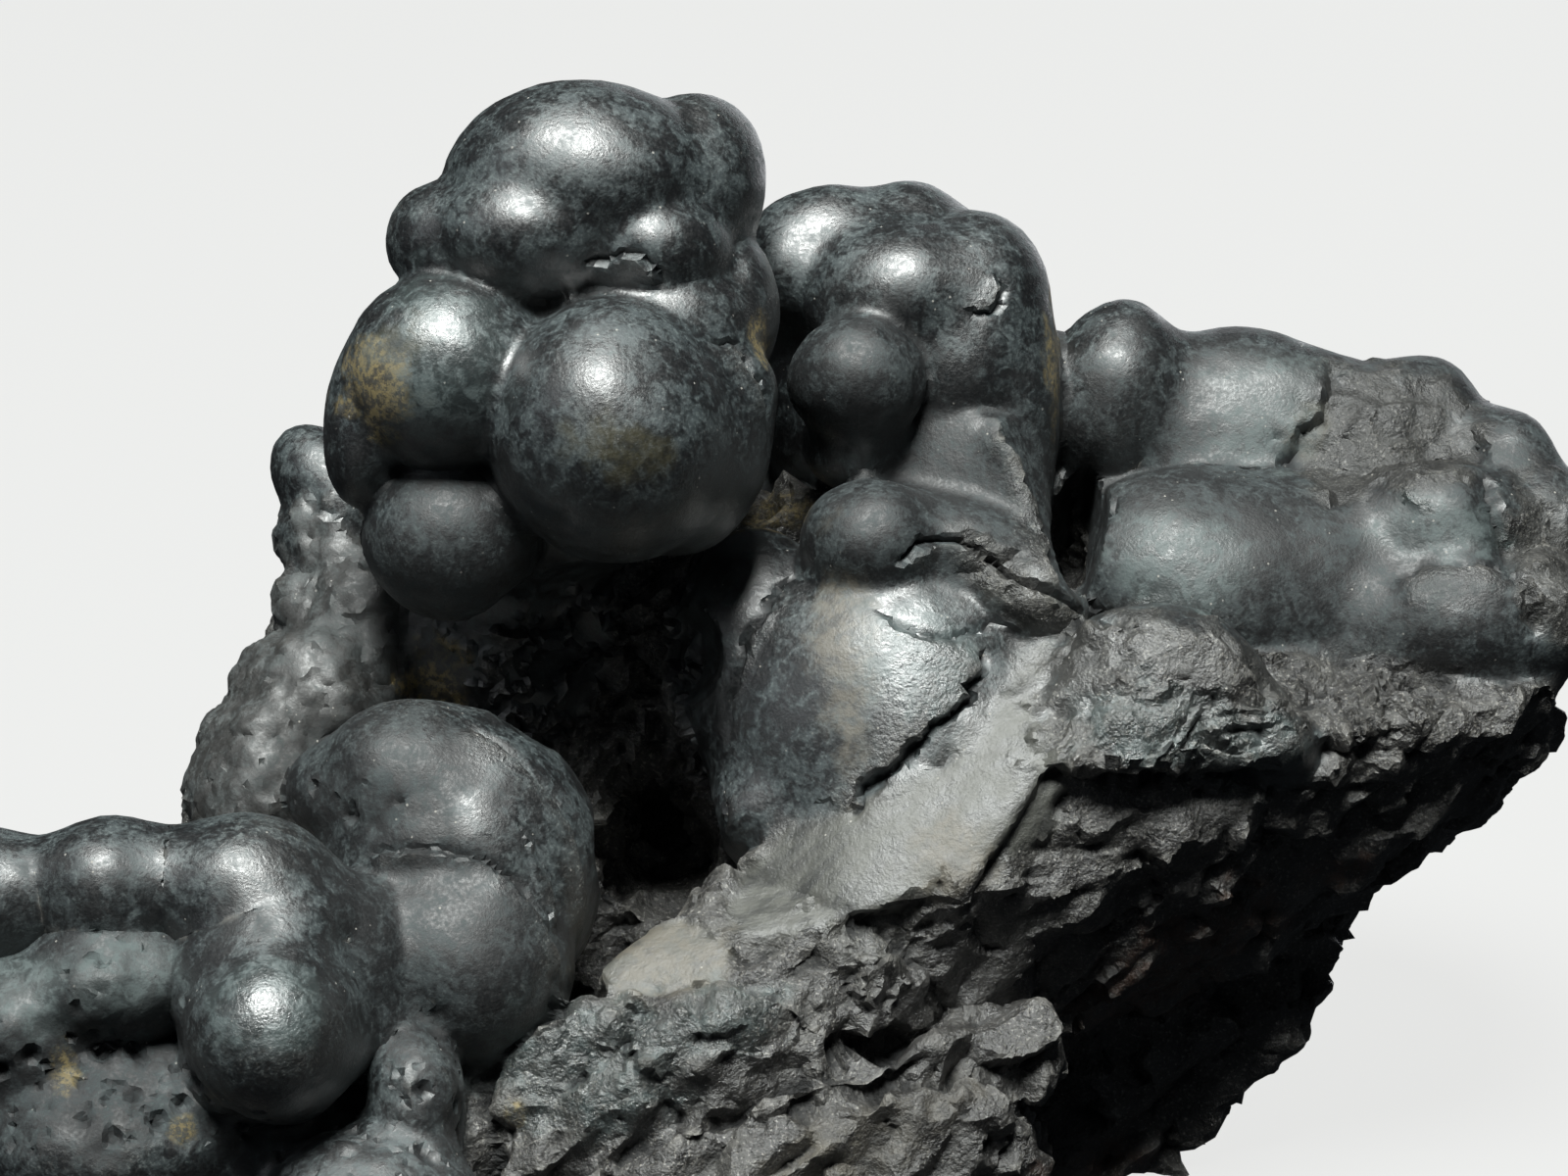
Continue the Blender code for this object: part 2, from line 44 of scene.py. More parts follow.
# How fine the skin is, and how many triangles it keeps before its foot is cut off: in all, and where it faces away
# from the eye or lies low.
FIRST_VOXEL = 0.5 * MM
FINE_VOXEL = 0.27 * MM
LUMP_FACES = 4
TRIANGLES = 252000
HIDDEN_TRIANGLES = 110000
HIDDEN_FACING = -0.3
HIDDEN_BELOW = 6 * MM
SAME_POINT = 0.0001 * MM
SHARP_ANGLE = math.radians(26)

# How widely forms run into each other, cluster into cluster and at the edges of the broken rock, and how far the
# skin moves at most when the creases are filled.
SEAM = 0.6 * MM
EDGE = 0.6 * MM
SETTLE_REACH = 0.8 * MM

# The broken rock's large chips, as in the solid, and two finer sizes of them, which are bent, with ridges over them.
# They run longer along the grain, with short slopes where they meet, in chip widths.
GRAIN = np.array([0.84, 0.25, 0.48])
CHIP_SLOPE = 0.2
CHIP_TILT = 0.55
CHIP_WIDTH = 5.0 * MM
GRIT_HEIGHT = 0.3 * MM
GRIT_WIDTH = 2.4 * MM
SKIN_DEPTH = 1.2 * MM
SMALL_CHIP_TILT = 1.05
SMALL_CHIP_WIDTH = 2.1 * MM
SPLINTER_TILT = 0.55
SPLINTER_WIDTH = 0.9 * MM
CHIP_BEND = 0.7 * MM
CHIP_BEND_WIDTH = 3 * MM
RIDGE_HEIGHT = 0.20 * MM
RIDGE_WIDTH = 2.8 * MM

# Fibres, which lean to the right, broken plates of crust, beads on swells, curls, and pits of two sizes.
FIBRE_WIDTH = 1.1 * MM
FIBRE_HEIGHT = 0.50 * MM
FIBRE_BEND = 0.35
PLATE_WIDTH = 1.6 * MM
PLATE_TILT = 0.5
BEAD_WIDTH = 1.15 * MM
BEAD_HEIGHT = 0.20 * MM
FINE_BEAD_WIDTH = 0.6 * MM
FINE_BEAD_HEIGHT = 0.14 * MM
SWELL_WIDTH = 2.2 * MM
SWELL_HEIGHT = 0.32 * MM
CURL_WIDTH = 2.0 * MM
CURL_HEIGHT = 0.75 * MM
PIT_SIZES = [(1.9 * MM, 0.45 * MM), (1.0 * MM, 0.22 * MM)]

# Half the width of the step at a broken edge, the crack's width at its foot, and the length over which the edge
# dies out at its ends, in millimetres.
EDGE_STEP = 0.12
CRACK_WIDTH = 0.20
EDGE_END = 1.2

# Distances are measured this close to a form; a point farther away counts as FAR from it.
NEAR = 4 * MM
FAR = 1.0

# A rounded lump: its centre, its half sizes across, up and in depth, its turn in the picture and how far it
# leans back, in degrees.
Lump = namedtuple("Lump", "right up depth wide tall deep turn lean", defaults=(0, 0))


def lumps(*rows):
    return [Lump(*row) for row in rows]


# Lumps, and flat-sided blocks with the same crust, that grew into each other, and how widely the creases between
# them are filled, in millimetres.
Cluster = namedtuple("Cluster", "fill lumps blocks", defaults=((),))

CROWN = Cluster(0.6, lumps(
    (-10.4, 20.6, 1, 7, 5.2, 7), (-13, 18, -0.9, 5, 3.7, 5.2), (-17, 17.6, 0.4, 3.1, 3.2, 3.9),
    (-4.9, 20.1, 3.4, 4, 5.1, 5.6, -8), (-6.8, 17.2, 0, 4.2, 3.4, 5),
))
MIDDLE = Cluster(0.8, lumps(
    (-17, 11, -0.8, 5.6, 5.2, 6.2), (-21.2, 8.6, 0.2, 2.4, 4.6, 3.8, -6),
    (-8.8, 8, -3, 6.3, 6.8, 7.2), (-16.9, 2.7, 1, 4.6, 4.2, 5.2),
))
MIDDLE_SHELLS = Cluster(0.8, lumps(
    (-5.6, 8.2, 0.2, 5.2, 6.4, 6), (-2.5, 9.8, -0.6, 2.2, 2.4, 2.8), (-6.3, 13, 0.4, 5, 4, 5),
    (-2.2, 14.2, 3, 2, 3.8, 4),
))
STEM = Cluster(3, lumps(
    (-12, 9, 6, 8, 9, 7), (-14.5, -1, 12.5, 6.5, 9, 6), (-13, 14.5, 9.5, 6.5, 6, 6),
))
LEFT_RIDGE = Cluster(1.4, lumps(
    (-23.4, 5.6, 14, 2.6, 2.7, 3.5), (-22.6, 1.6, 13.5, 2.6, 3.4, 4), (-21.2, -2.4, 12, 4, 4.6, 5),
    (-23.4, -6.6, 10, 4.4, 4.6, 6), (-25.6, -10.4, 8.5, 4.6, 4.6, 6), (-24.6, 6.9, 14, 1.3, 1.3, 1.6),
    (-24.5, 2.6, 12.6, 1.3, 1.5, 2), (-22.2, 4.4, 11.4, 1.4, 1.6, 1.6), (-24.3, -0.8, 11.4, 1.6, 1.4, 1.8),
    (-26.4, -4.4, 9.4, 1.7, 1.5, 2), (-24.2, -4, 6.6, 1.8, 1.6, 1.6), (-28.2, -7.4, 8.4, 1.6, 1.3, 2),
    (-26, -7.4, 5.4, 1.8, 1.5, 1.8), (-29, -10.2, 7.4, 1.4, 1.6, 2),
))
LOWER_LOBES = Cluster(1.4, lumps(
    (-19.3, -9.6, -1, 4.4, 3.7, 5), (-16.6, -14.2, 0.6, 7.4, 8, 8),
    (-23.3, -10.4, 0, 2.2, 2.4, 3),
))
FRONT_LOBE = Cluster(1, lumps(
    (-16.6, -18.8, -3.4, 5.8, 5.8, 6.2, 20), (-20.6, -17.6, -4.4, 4.2, 3.4, 4.2),
))
FOREGROUND = Cluster(2.8, lumps(
    (-27.6, -15, -8, 4.6, 3.5, 5), (-34.2, -14.8, -8.5, 3.6, 3.3, 4.5),
    (-40.8, -15.6, -8, 4.2, 3.3, 4.5), (-26, -22.4, -12, 4.6, 4.8, 6),
    (-26.6, -18.2, -10, 4.4, 1.7, 3.6, 26), (-21.6, -20, -6.5, 3.4, 5, 4),
    (-34.4, -20.2, -9.5, 3.8, 2.8, 4.5), (-39.6, -22.6, -9.5, 4.2, 3.2, 4.5),
    (-18.6, -25.6, -8.5, 2.2, 3, 4), (-21, -31, -11, 5.6, 3.2, 5),
    (-34, -28, -8, 7.6, 5.2, 6.5),
))
HOOD = Cluster(1, lumps(
    (5.6, -8, 7, 9.6, 11, 9), (-1, -11.4, 4.4, 2.7, 2.9, 4.2), (-1.4, -3.6, 8, 4.3, 6.6, 5.6),
    (4.6, 2.4, 4, 3.8, 3.3, 4.4), (8.6, 1.4, 5.8, 5, 3.2, 4.8, -16, 12),
    (12, -0.6, 5.8, 4, 2.8, 5.4, -34),
), [[
    (6.4, 9.4, 7), (10.9, 8.9, 4.8), (12.5, 4.4, 4), (13.6, 0.6, 3.6), (3, 1, 5.6), (4.2, 5.8, 6.6),
    (13, 9, 9.4), (14.2, 1, 7.6), (6, 10, 12), (13, 9, 12), (14, 0, 12), (2.6, 1.6, 10),
]])
BACK_CLUSTER = Cluster(1.8, lumps(
    (2.4, 18, 12, 3.3, 2.6, 3.6), (6.3, 18.4, 13, 2.6, 2.3, 3.2), (5.8, 14.9, 9.4, 4.9, 3.9, 5),
    (10, 13.6, 10.6, 3.6, 5.4, 5), (0, 16.2, 11.5, 2.3, 2.9, 3.5), (8.8, 10.8, 9.8, 3.8, 3.6, 4.4),
    (12, 9, 12, 2, 6.5, 5), (6, 11, 16, 8, 9, 7),
))
SMALL_FRONT_LOBE = Cluster(1, lumps(
    (3.7, 10.7, 5.6, 3.5, 3.4, 4), (3.9, 7.4, 8.6, 2.9, 2.6, 4),
))
PLATEAU = Cluster(2.4, lumps(
    (25.6, 1.2, 12.9, 13.2, 8.4, 3, -6, 45), (16.6, 10.2, 15.4, 3.5, 4.6, 4.6, -20, 10),
    (23.4, 8.2, 16.4, 6.6, 5.3, 4.8, -4, 28), (21.4, 0.6, 8.6, 7, 5.8, 4.6, -12, 30),
    (27.2, 0.6, 10.2, 6, 5.2, 4.4, -22, 36), (34.8, -2.2, 7.2, 5.6, 3.6, 4.2, -4, 36),
    (33.6, 2.8, 10.2, 4.6, 3.4, 4.4, -4, 30), (30.2, 7, 16, 5.2, 4.6, 4.4, -20, 34),
    (32.8, 9.2, 17.4, 2.5, 2.5, 3.6), (36.2, 5.8, 14.6, 3, 3.6, 4, -30, 20),
    (39, 3.2, 12.2, 2.5, 2.7, 4), (38.6, -1.6, 8.6, 2.2, 3, 4),
))
RIM_MOUND = Cluster(1.2, lumps(
    (19.2, -5, 1.2, 5.6, 4.1, 4.6, -10, 24), (23.6, -7, 1.8, 4, 2.6, 4.2, -30),
    (15.6, -6.4, 1.4, 3.6, 2.8, 4.4, 20),
))
BACK_LUMPS = Cluster(3.2, lumps(
    (-6, 5, 19.4, 6.5, 6, 6), (-19, 3, 19.6, 5, 6.5, 6), (2, 9, 22, 6, 5.5, 6),
    (12, 7, 22.4, 5.6, 6, 6), (22, 4, 24.4, 6, 5.6, 6), (31, 2, 22, 5.4, 5.4, 6),
    (-12.5, -2, 26, 6.4, 6.4, 6), (-2.5, -3.5, 30, 5, 5, 5), (-19, -9, 29.2, 5.6, 5.4, 5.6),
    (7, -1, 29.2, 4.4, 4.6, 4.6), (-10, -11.5, 33.4, 4.6, 4.6, 4.6), (-23.6, -9.5, 22, 4.6, 5.4, 6),
    (-26, -18, 24, 4.6, 5, 5), (-12.6, 4.8, 22, 3.6, 3.4, 4.2), (2.4, 3.4, 27.6, 3.9, 3.5, 4),
    (-5.6, 1.6, 26.2, 3.4, 3.6, 4.2), (16.6, 1, 28, 3.7, 3.4, 4), (27, -1.4, 26.4, 3.6, 3.2, 3.8),
    (12.4, -5.4, 31.2, 3, 2.8, 3.4), (-6.4, -8.2, 32.2, 3.3, 3, 3.6), (-15.4, -7, 30.6, 3.4, 3.2, 3.6),
    (-23, -3, 25.4, 3.2, 3.4, 3.8), (-15.2, -14.6, 33.2, 3, 2.8, 3.4),
    (-24.6, -14, 27, 3, 3, 3.8), (1.6, -8, 32.4, 2.6, 2.4, 3),
))
CLUSTERS = [
    CROWN, MIDDLE, MIDDLE_SHELLS, STEM, LEFT_RIDGE, LOWER_LOBES, FRONT_LOBE, FOREGROUND, HOOD,
    BACK_CLUSTER, SMALL_FRONT_LOBE, PLATEAU, RIM_MOUND, BACK_LUMPS,
]

# The broken rock: each block is the convex body round its corners, which are (right, up, depth).
PLATEAU_ROCK = [
    (14, -8, -1), (16, -8.8, -1), (27, -7.6, 0), (31, -7.2, 1), (36, -6.6, 3), (39.6, -4.4, 5),
    (40.6, -1, 9), (40.6, 3, 13), (38, 6, 17), (33, 8.6, 19), (26, 10.4, 21), (20, 10.6, 21), (14, 11, 20),
    (13, 4, 12), (14, -2, 6), (39.6, -8, 9), (36, -12, 11), (31.6, -14.4, 12), (20, -13, 8),
    (38, 0, 23), (30, 3, 28), (16, 3, 30), (30, -12, 26), (16, -16, 28), (12, -14, 10),
]
RIM = [
    (14, -3.2, 2.4), (15.6, -1.6, 2.4), (18, -0.8, 1.4), (20, -1, 1), (22, -2.4, 1), (24, -4.8, 0.6),
    (26, -6.4, 0.6), (27, -7.6, 0.6), (13.2, -9.2, -4), (14.4, -7.8, -4), (16.4, -9, -5), (20, -9.3, -5),
    (24, -8.8, -3), (17, -4.2, -3.2), (21, -4.6, -2.8), (20, -10, 2), (14, -10, 2),
]
UPPER_FACE = [
    (8.3, -16.5, -4.4), (12.6, -11.2, -3.4), (13.4, -9.6, -3.2), (20, -10, -0.6), (26.6, -8.6, 0.6), (30, -8, 2),
    (36, -8, 4), (39.6, -8, 8), (36.4, -11.4, 10), (35, -12.6, 10.5), (31.5, -14.5, 11), (30, -16, 11.5),
    (22, -19.5, 9.6), (16, -23, 8), (8, -22.4, 1), (4.4, -21.6, -2.4), (4.2, -17.2, -3.4),
    (30, -12, 26), (12, -18, 28), (4, -20, 6),
]
LOWER_FACE = [
    (30, -15.5, 15), (28.4, -19, 15), (26.8, -22.3, 15), (24, -23.4, 15), (23.4, -26.4, 15.5), (20, -29.4, 16),
    (14, -36, 18), (10, -37, 18), (4, -24, 10), (12, -20, 11), (28, -16, 26), (22, -24, 27), (12, -36, 32),
    (-4, -38, 22), (-4, -24, 12),
]
SLAB = [
    (-2.4, -14.4, 0.2), (3.4, -16.7, -5), (8.3, -16.1, -5.4), (10.2, -14.2, -4.9), (12.3, -11.4, -4.3),
    (13.2, -9.4, -3.8), (14.2, -7.6, -3), (14.6, -3.4, 0.2), (10.5, -0.6, 3.6), (4, -4, 1.4),
    (0, -14, 10), (12, -8, 10), (4, -17, 6), (12, -14, 6),
]
SLAB_FOOT = [
    (-2.8, -14.6, 0.2), (-3.8, -17.4, -2.6), (-5.4, -17.5, -3), (-8.2, -18.2, -3.6), (-9.7, -19.3, -4),
    (-9.2, -20.9, -5.4), (-5, -21.2, -6.2), (-0.2, -20, -6.8), (3.4, -16.7, -5), (0, -14.4, -0.6),
    (-7, -20, 6), (4, -19, 6), (-2, -15, 8),
]
UNDER_SLAB = [
    (0.2, -20.2, -6.4), (3.4, -17.3, -4.8), (5.2, -18.4, -5.6), (6.5, -20.2, -5), (6.2, -21.6, -4.8),
    (3.2, -23.6, -6.4), (0.4, -22.8, -7), (-1.6, -20.6, -7), (0, -20, 4), (8, -17.5, 4), (9, -22.5, 4),
    (2, -25, 2),
]
FRONT_CREST = [
    (-15, -24, -6), (-12.4, -20.8, -6), (-10, -20.4, -6.6), (-6.2, -21.4, -7.4), (-4, -20.6, -7.4),
    (0, -20.8, -7.6), (2.8, -22.8, -7), (-14.6, -29, -8), (-9, -27, -8.8), (-5, -22.8, -8.2), (-8, -23, -8.4),
    (-14, -24, 6), (4, -24, 6), (1, -24.6, -4), (-13, -44, -6), (-6, -44, -6), (-6, -44, 14), (-14, -44, 14),
]
FOOT_LEDGE = [
    (-2.2, -27.6, -8.4), (0, -25.9, -8.2), (2.8, -25, -7.4), (7.2, -23.3, -5.4), (10.6, -22.1, -3.6),
    (13.7, -21.2, -1.6), (14.6, -24.2, -1.2), (12.4, -25.4, -2.6), (8, -26, -5), (2, -28, -6.6),
    (-8, -26, 6), (14, -26, 8), (8, -23, 8), (0, -27, 4),
]
FRONT_FOOT = [
    (-3.2, -28.8, -9), (3, -26.9, -8.6), (7, -25.5, -7.2), (9.6, -25.5, -6.2), (12.4, -27.3, -4.6),
    (11, -30.6, -5.2), (12.4, -34, -3), (-10, -29.6, -9), (-14, -46, -9), (0, -46, -9), (10, -44, -2),
    (13, -27, 12), (-10, -26, 8), (14, -38, 20), (-12, -44, 14),
]
LEFT_FOOT = [
    (-44.6, -18, -4), (-44.6, -30, -7), (-36, -29, -10.5), (-28, -29, -12), (-18, -29, -10), (-14, -23, -4),
    (-42.5, -47, -7), (-30, -47, -11), (-14, -47, -10), (-42, -16, 6), (-30, -13, 8), (-38, -44, 22),
    (-14, -18, 12), (-14, -44, 24), (-34, -17, 12), (-42, -24, 12),
]
LEFT_RISE = [
    (-25.4, -4.6, 12), (-28.6, -8.4, 10), (-30, -10, 9), (-30, -16, 6), (-20, -4, 9), (-16, -7, 8),
    (-14, -12, 8), (-14, -20, 4), (-28, -8, 22), (-16, 0, 22), (-31, -20, 22), (-14, -24, 24), (-34, -30, 26),
]
BACK_LEFT = [
    (-30, -14, 16), (-22, -4, 20), (-8, 2, 20), (-4, 0, 30), (-20, -8, 30), (-34, -30, 26), (-36, -44, 26),
    (-20, -44, 41), (-6, -44, 42), (-4, -14, 37), (-26, -20, 30), (-6, -12, 12), (-6, -40, 14), (-30, -40, 12),
]
BACK_MIDDLE = [
    (-18, 2, 12), (-4, 2, 9.5), (-4, -10, 9.5), (-16, -9, 9.5), (-12, 4, 24), (8, 7, 24), (14, 4, 28),
    (16, -2, 32), (14, -18, 34), (10, -44, 40), (-12, -44, 42), (-10, -8, 34), (8, 6, 12), (12, -20, 12),
    (-10, -40, 12), (10, -40, 16),
]
BACK_RIGHT = [
    (8, 6, 20), (16, 4, 20), (30, 2, 20), (30, -4, 29), (24, -12, 33), (16, -8, 36), (8, -4, 36), (24, -22, 30),
    (18, -34, 28), (8, -42, 30), (8, -40, 38), (16, -26, 37), (10, -14, 12), (14, -34, 18),
]
BLOCKS = [
    PLATEAU_ROCK, RIM, UPPER_FACE, LOWER_FACE, SLAB, SLAB_FOOT, UNDER_SLAB, FRONT_CREST, FOOT_LEDGE, FRONT_FOOT,
    LEFT_FOOT, LEFT_RISE, BACK_LEFT, BACK_MIDDLE, BACK_RIGHT,
]

# Where the rock broke smooth: bodies shaped as lumps are, inside which it has no chips.
SMOOTH_ROCK = lumps(
    (4.4, -13.6, -1.4, 9, 4, 7, 30), (9.6, -9.4, -1, 7.4, 5.2, 7, 52),
    (-6.4, -19, -4, 4.4, 2.6, 4, 8), (12, -2.8, 1, 5, 4.4, 6, -34),
    (4.6, -18, -4.4, 3, 2, 3, -20),
)

# Hollows between the forms, shaped as lumps are.
HOLLOWS = lumps(
    (-6.6, -12.8, 6, 3.5, 4.6, 12, 6), (-9.5, -3.5, 1, 6.6, 5, 8.5, 4),
    (14.7, 2.4, 10, 1.6, 4.5, 9, -14),
)

# A broken edge of crust: its course in the picture, and the crust stands on the left of it. The crust rises by
# `rise` at the edge and sinks back over `reach`; a crack of depth `groove` runs along its foot. Its course strays by
# `ragged`. It lies between the depths `near` and `far`.
Edge = namedtuple("Edge", "points rise reach groove near far ragged", defaults=(0.3,))

# The hood's jagged lower edge: the crust above it, the smooth broken slab below it.
HOOD_EDGE = Edge(
    [(3.2, -12.1), (3.7, -11.2), (3.6, -10.5), (5, -9.4),
     (6.3, -8.3), (7.6, -7), (8.9, -6), (9.5, -5.6), (9.2, -5), (9.9, -4.2), (10.2, -3)],
    0.5, 3.5, 0.5, -6, 4)
EDGES = [
    HOOD_EDGE,
    # the crack over the hood
    Edge([(16.6, -2.3), (15.4, -1.7), (14, -0.6), (12.2, 0), (10.8, 0.9), (9.8, 1.9), (8.6, 2.5), (7.4, 2.3),
          (6.4, 1.5), (5.5, 1)], 0.50, 4, 0.7, -6, 8),
    # the broken upper skin of the hood, seen as a rough line across it
    Edge([(11.4, -2), (10.2, -2.2), (8.6, -2.6), (7, -2.6), (5.6, -1.9), (4.6, -1)], 0.12, 2, 0.20, -6, 4),
    # the hood's left rim
    Edge([(1.4, 1.4), (-0.4, -0.4), (-1.6, -2.6), (-2.6, -5.6), (-3, -9.2), (-2.9, -12.6), (-2.4, -13.6)],
         0.25, 1.2, 0.3, -4, 8),
    # the shell that ends under the knob behind the tower
    Edge([(3, 4.9), (1.6, 4.6), (0.4, 3.6), (-0.2, 2.6)], 0.3, 1.6, 0.4, -4, 8),
    # the broad front of the column ends in a ridge at the right
    Edge([(14.3, -0.4), (13.4, 0.9), (12.9, 3), (12.2, 5.4), (11.3, 7.8), (10.8, 8.8)], 0.55, 2.2, 0.1, -2, 12),
    # the lower lobe's broken shells
    Edge([(-10.6, -19.6), (-10.3, -17.6), (-10.2, -15.4), (-10.7, -12.8), (-11.8, -10.6), (-13.6, -8.8),
          (-15.4, -7.6), (-17, -7)], 0.40, 2, 0.30, -6, 6, 0.12),
    Edge([(-11.6, -19), (-11.6, -16.8), (-12, -14.8), (-12.8, -13), (-14.2, -11.4)], 0.2, 2, 0.2, -6, 6, 0.1),
    # the dark lobe in front of it
    Edge([(-11.2, -20), (-12, -17.4), (-13.6, -15.2), (-15.8, -13.8), (-18.6, -13.2), (-21.6, -13.8)],
         0.35, 2.4, 0.2, -10, 2),
    # broken skins beside the tower's largest lobe
    Edge([(-6, 15.2), (-7.4, 17), (-9.4, 16.6), (-10.4, 16.2)], 0.3, 1.6, 0.3, -8, 4),
    Edge([(-0.6, 8), (-1.2, 10.6), (-2.8, 12.2), (-4.2, 12.4)], 0.3, 1.2, 0.35, -8, 4),
    # the crust's step on the plateau
    Edge([(28, 11.6), (27.8, 9.6), (27.6, 8.8), (26.6, 7.8), (25.6, 6.6), (25.3, 6)], -0.6, 2.6, 0.3, 6, 26),
    # the rim of the plateau's front lobe
    Edge([(19.4, -1), (17.6, -1.8), (16, -1.6), (15, -0.2), (15.1, 1.6), (15.9, 3.4), (17.2, 4.8)],
         0.3, 1.4, 0.4, -2, 14),
    # the shell at the right end of the plateau, over the dome behind it
    Edge([(39.2, -1), (38, 0.4), (36.2, 1), (34, 1.1), (32.2, 0.8), (30.8, 0.2)], 0.45, 2.6, 0.35, 0, 14),
    # the crack where the rim meets the plateau
    Edge([(28.4, -5.2), (27.4, -5.9), (26.2, -6.3), (25.2, -5.9), (24.2, -4.9), (23.2, -3.6), (22, -2.4),
          (20.4, -1.2)], 0.3, 2, 0.35, -4, 10),
    # plates at the right end
    Edge([(38.6, -3), (38, -0.6), (36.8, 2), (36.2, 4.4), (35.6, 6.6), (35, 8.4)], -0.5, 1.6, 0.4, 2, 22),
    # the small lobe in front of the back cluster
    Edge([(4.6, 13.2), (6.2, 12.6), (7, 11.2), (7, 9.8), (6.2, 8.2)], -0.3, 1, 0.2, -4, 10),
    # the broken lip on the back cluster
    Edge([(8.8, 14.2), (10.6, 14.2), (11.2, 15.2), (10.6, 16.4)], 0.3, 1.4, 0.3, 0, 14),
]

# Stretches of the stone with a surface of their own, and stretches with painted shade and painted highlights, as
# rounds in the picture: right, up, half width, half height, turn in degrees, and the depths between which they lie.
Patch = namedtuple("Patch", "right up wide tall turn near far", defaults=(0, -20, 40))


def stretches(*rows):
    return [Patch(*row) for row in rows]


CRUST_BREAKS = stretches(
    (19, -3.6, 5.6, 2.6, -10, -6, 6), (24, -5.6, 3, 2, -34, -6, 6), (15.4, -5.6, 2.6, 3.4, 0, -6, 6),
    (4.4, -19.6, 4, 2.8, -20, -12, 4), (31, 8, 4.8, 3.2, -20, 6, 26), (28.4, 6, 2.2, 2, -20, 6, 20),
    (11.6, 0.2, 3.4, 1.2, -40, -4, 6), (38.8, 1, 1.8, 4.6, 10, 2, 20),
)
FIBRES = stretches(
    (19, -7.4, 6.6, 2.9, 4, -8, 3), (23.4, -7, 3.8, 2.2, -20, -8, 5), (30.4, -5.6, 4, 1.8, 8, -4, 8),
)
BEADS = stretches(
    (-24.4, -5, 7, 10.4, -32, 2, 26), (-27.5, -10, 3.4, 3.6, 0, 0, 24),
)
CURLS = stretches(
    (-8.6, -5.6, 6.6, 5.4, 0, 6, 18), (-5, -5.6, 2.6, 3.4, 0, 6, 16),
)
# Duller stretches: rougher and less glossy, and darker in colour, which is partly painted shade on lobes that lie in
# shadow.
DULL_AND_SHADED = stretches(
    (27, 4, 15, 11, 0, -2, 26), (-16.9, 2.6, 5.4, 5, 0, -8, 4), (-17, -18.8, 6.4, 5.4, 0, -12, 2),
    (-18.6, -18, 7, 6.6, 0, -12, 4), (-20.4, -9.4, 6, 4.4, 0, -8, 6), (8.8, 5.4, 6, 5.4, 0, 0, 10),
    (3.6, 10.6, 4.4, 4.2, 0, -4, 8), (4.6, 3, 4.6, 3, 0, -4, 8), (-36, -22, 9, 8, 0, -16, 0),
)
# Painted shade: stretches of the foot and of the rock under the slab, darkened where shadow falls.
PAINTED_SHADE = stretches(
    (9.6, -19.6, 6.4, 3.4, 26, -9, 12), (8.6, -26, 7.2, 3.6, 14, -9, 12),
    (13.6, -27.6, 3, 4.6, 0, -9, 16), (-1.6, -25.4, 3.6, 1.1, -8, -12, 4),
)
PITS = stretches(
    (-34, -20.4, 3.6, 3, 0, -16, 0), (-39.4, -24, 3.4, 4, 0, -16, 0),
    (-33, -26.5, 6.4, 3.2, 0, -16, 0), (-18.4, -26.6, 2.6, 4, 0, -14, 0),
    (-21.4, -10.6, 3.2, 1.6, 0, -8, 4), (-9, -24, 5, 3, 0, -12, 0),
    (-21, -29.6, 5, 2.2, 0, -18, 0),
)
OCHRE = stretches(
    (-20.6, 10.2, 1.7, 2, 15, -8, 4), (-18.1, -4.4, 1.7, 2.4, -10, 2, 20),
    (13.7, 11.6, 0.35, 3.4, 2, 2, 20), (-0.4, 4, 1.6, 0.8, 20, 0, 14), (-36.7, -24.2, 0.6, 1.1, 0, -16, 0),
    (-30.7, -27.5, 0.5, 0.6, 0, -16, 0), (-13.7, -26.5, 0.6, 0.9, 0, -14, 0),
    (-1.4, 12.2, 0.5, 1.6, 0, -2, 12),
)
OLIVE = stretches(
    (-8.5, 7.2, 2.8, 1.6, -12, -12, 0), (-19.6, 12.6, 1.8, 1, 30, -8, 4),
)
TAN = stretches(
    (3.2, -3.4, 1.6, 5.2, 4, -8, 4), (-6.4, -19, 3.8, 2, 8, -10, 2), (8.4, -13.6, 2.4, 2.4, 30, -8, 2),
    (4, -28.2, 6.6, 1.8, 24, -12, 2), (26.8, 8, 1, 1.8, -30, 6, 26),
)
RUST = stretches(
    (16, -29.4, 3, 1.4, 20, -4, 24), (20, -19, 6, 2, 30, -2, 24),
    (28.6, -14.4, 1.4, 0.8, 20, 0, 20),
)
# Painted highlights on the lit domes, lobes and rim, lightened toward the pale film and made glossier; on the foot
# and the pitted lobes they stand for paler film.
PAINTED_HIGHLIGHT_AND_FILM = stretches(
    (6.6, -3.6, 3.4, 3, 0, -8, 2), (-17.4, 12, 3.4, 4.4, 0, -8, 4), (-26.4, -21.4, 3, 2.4, 0, -20, 0),
    (20.4, 1.2, 3.6, 2.6, -10, 0, 16), (24.6, 9, 3.4, 2.8, 0, 6, 26), (33, 3.2, 3.2, 1.7, 0, 4, 20),
    (-38.6, -20.8, 3, 2.2, 0, -16, 0), (-10, -24.4, 5.6, 3.4, 0, -12, 0),
    (-3.4, -22.2, 4.4, 1.8, 16, -12, 0), (20.4, -7.4, 6, 2.4, -14, -8, 4),
    (-33.6, -20, 3.2, 2.6, 0, -16, 0),
)


def from_front(right, up, depth):
    """The place of a point that the eye sees at right and up, and that lies this far behind the point looked at."""
    nearer = 1 + depth * MM / EYE_DISTANCE
    sideways = Vector((1, 0, 0)) * right * nearer
    upwards = Vector((0, math.sin(LOOK_DOWN), math.cos(LOOK_DOWN))) * up * nearer
    away = Vector((0, math.cos(LOOK_DOWN), -math.sin(LOOK_DOWN))) * depth
    return LOOKED_AT + (sideways + upwards + away) * MM


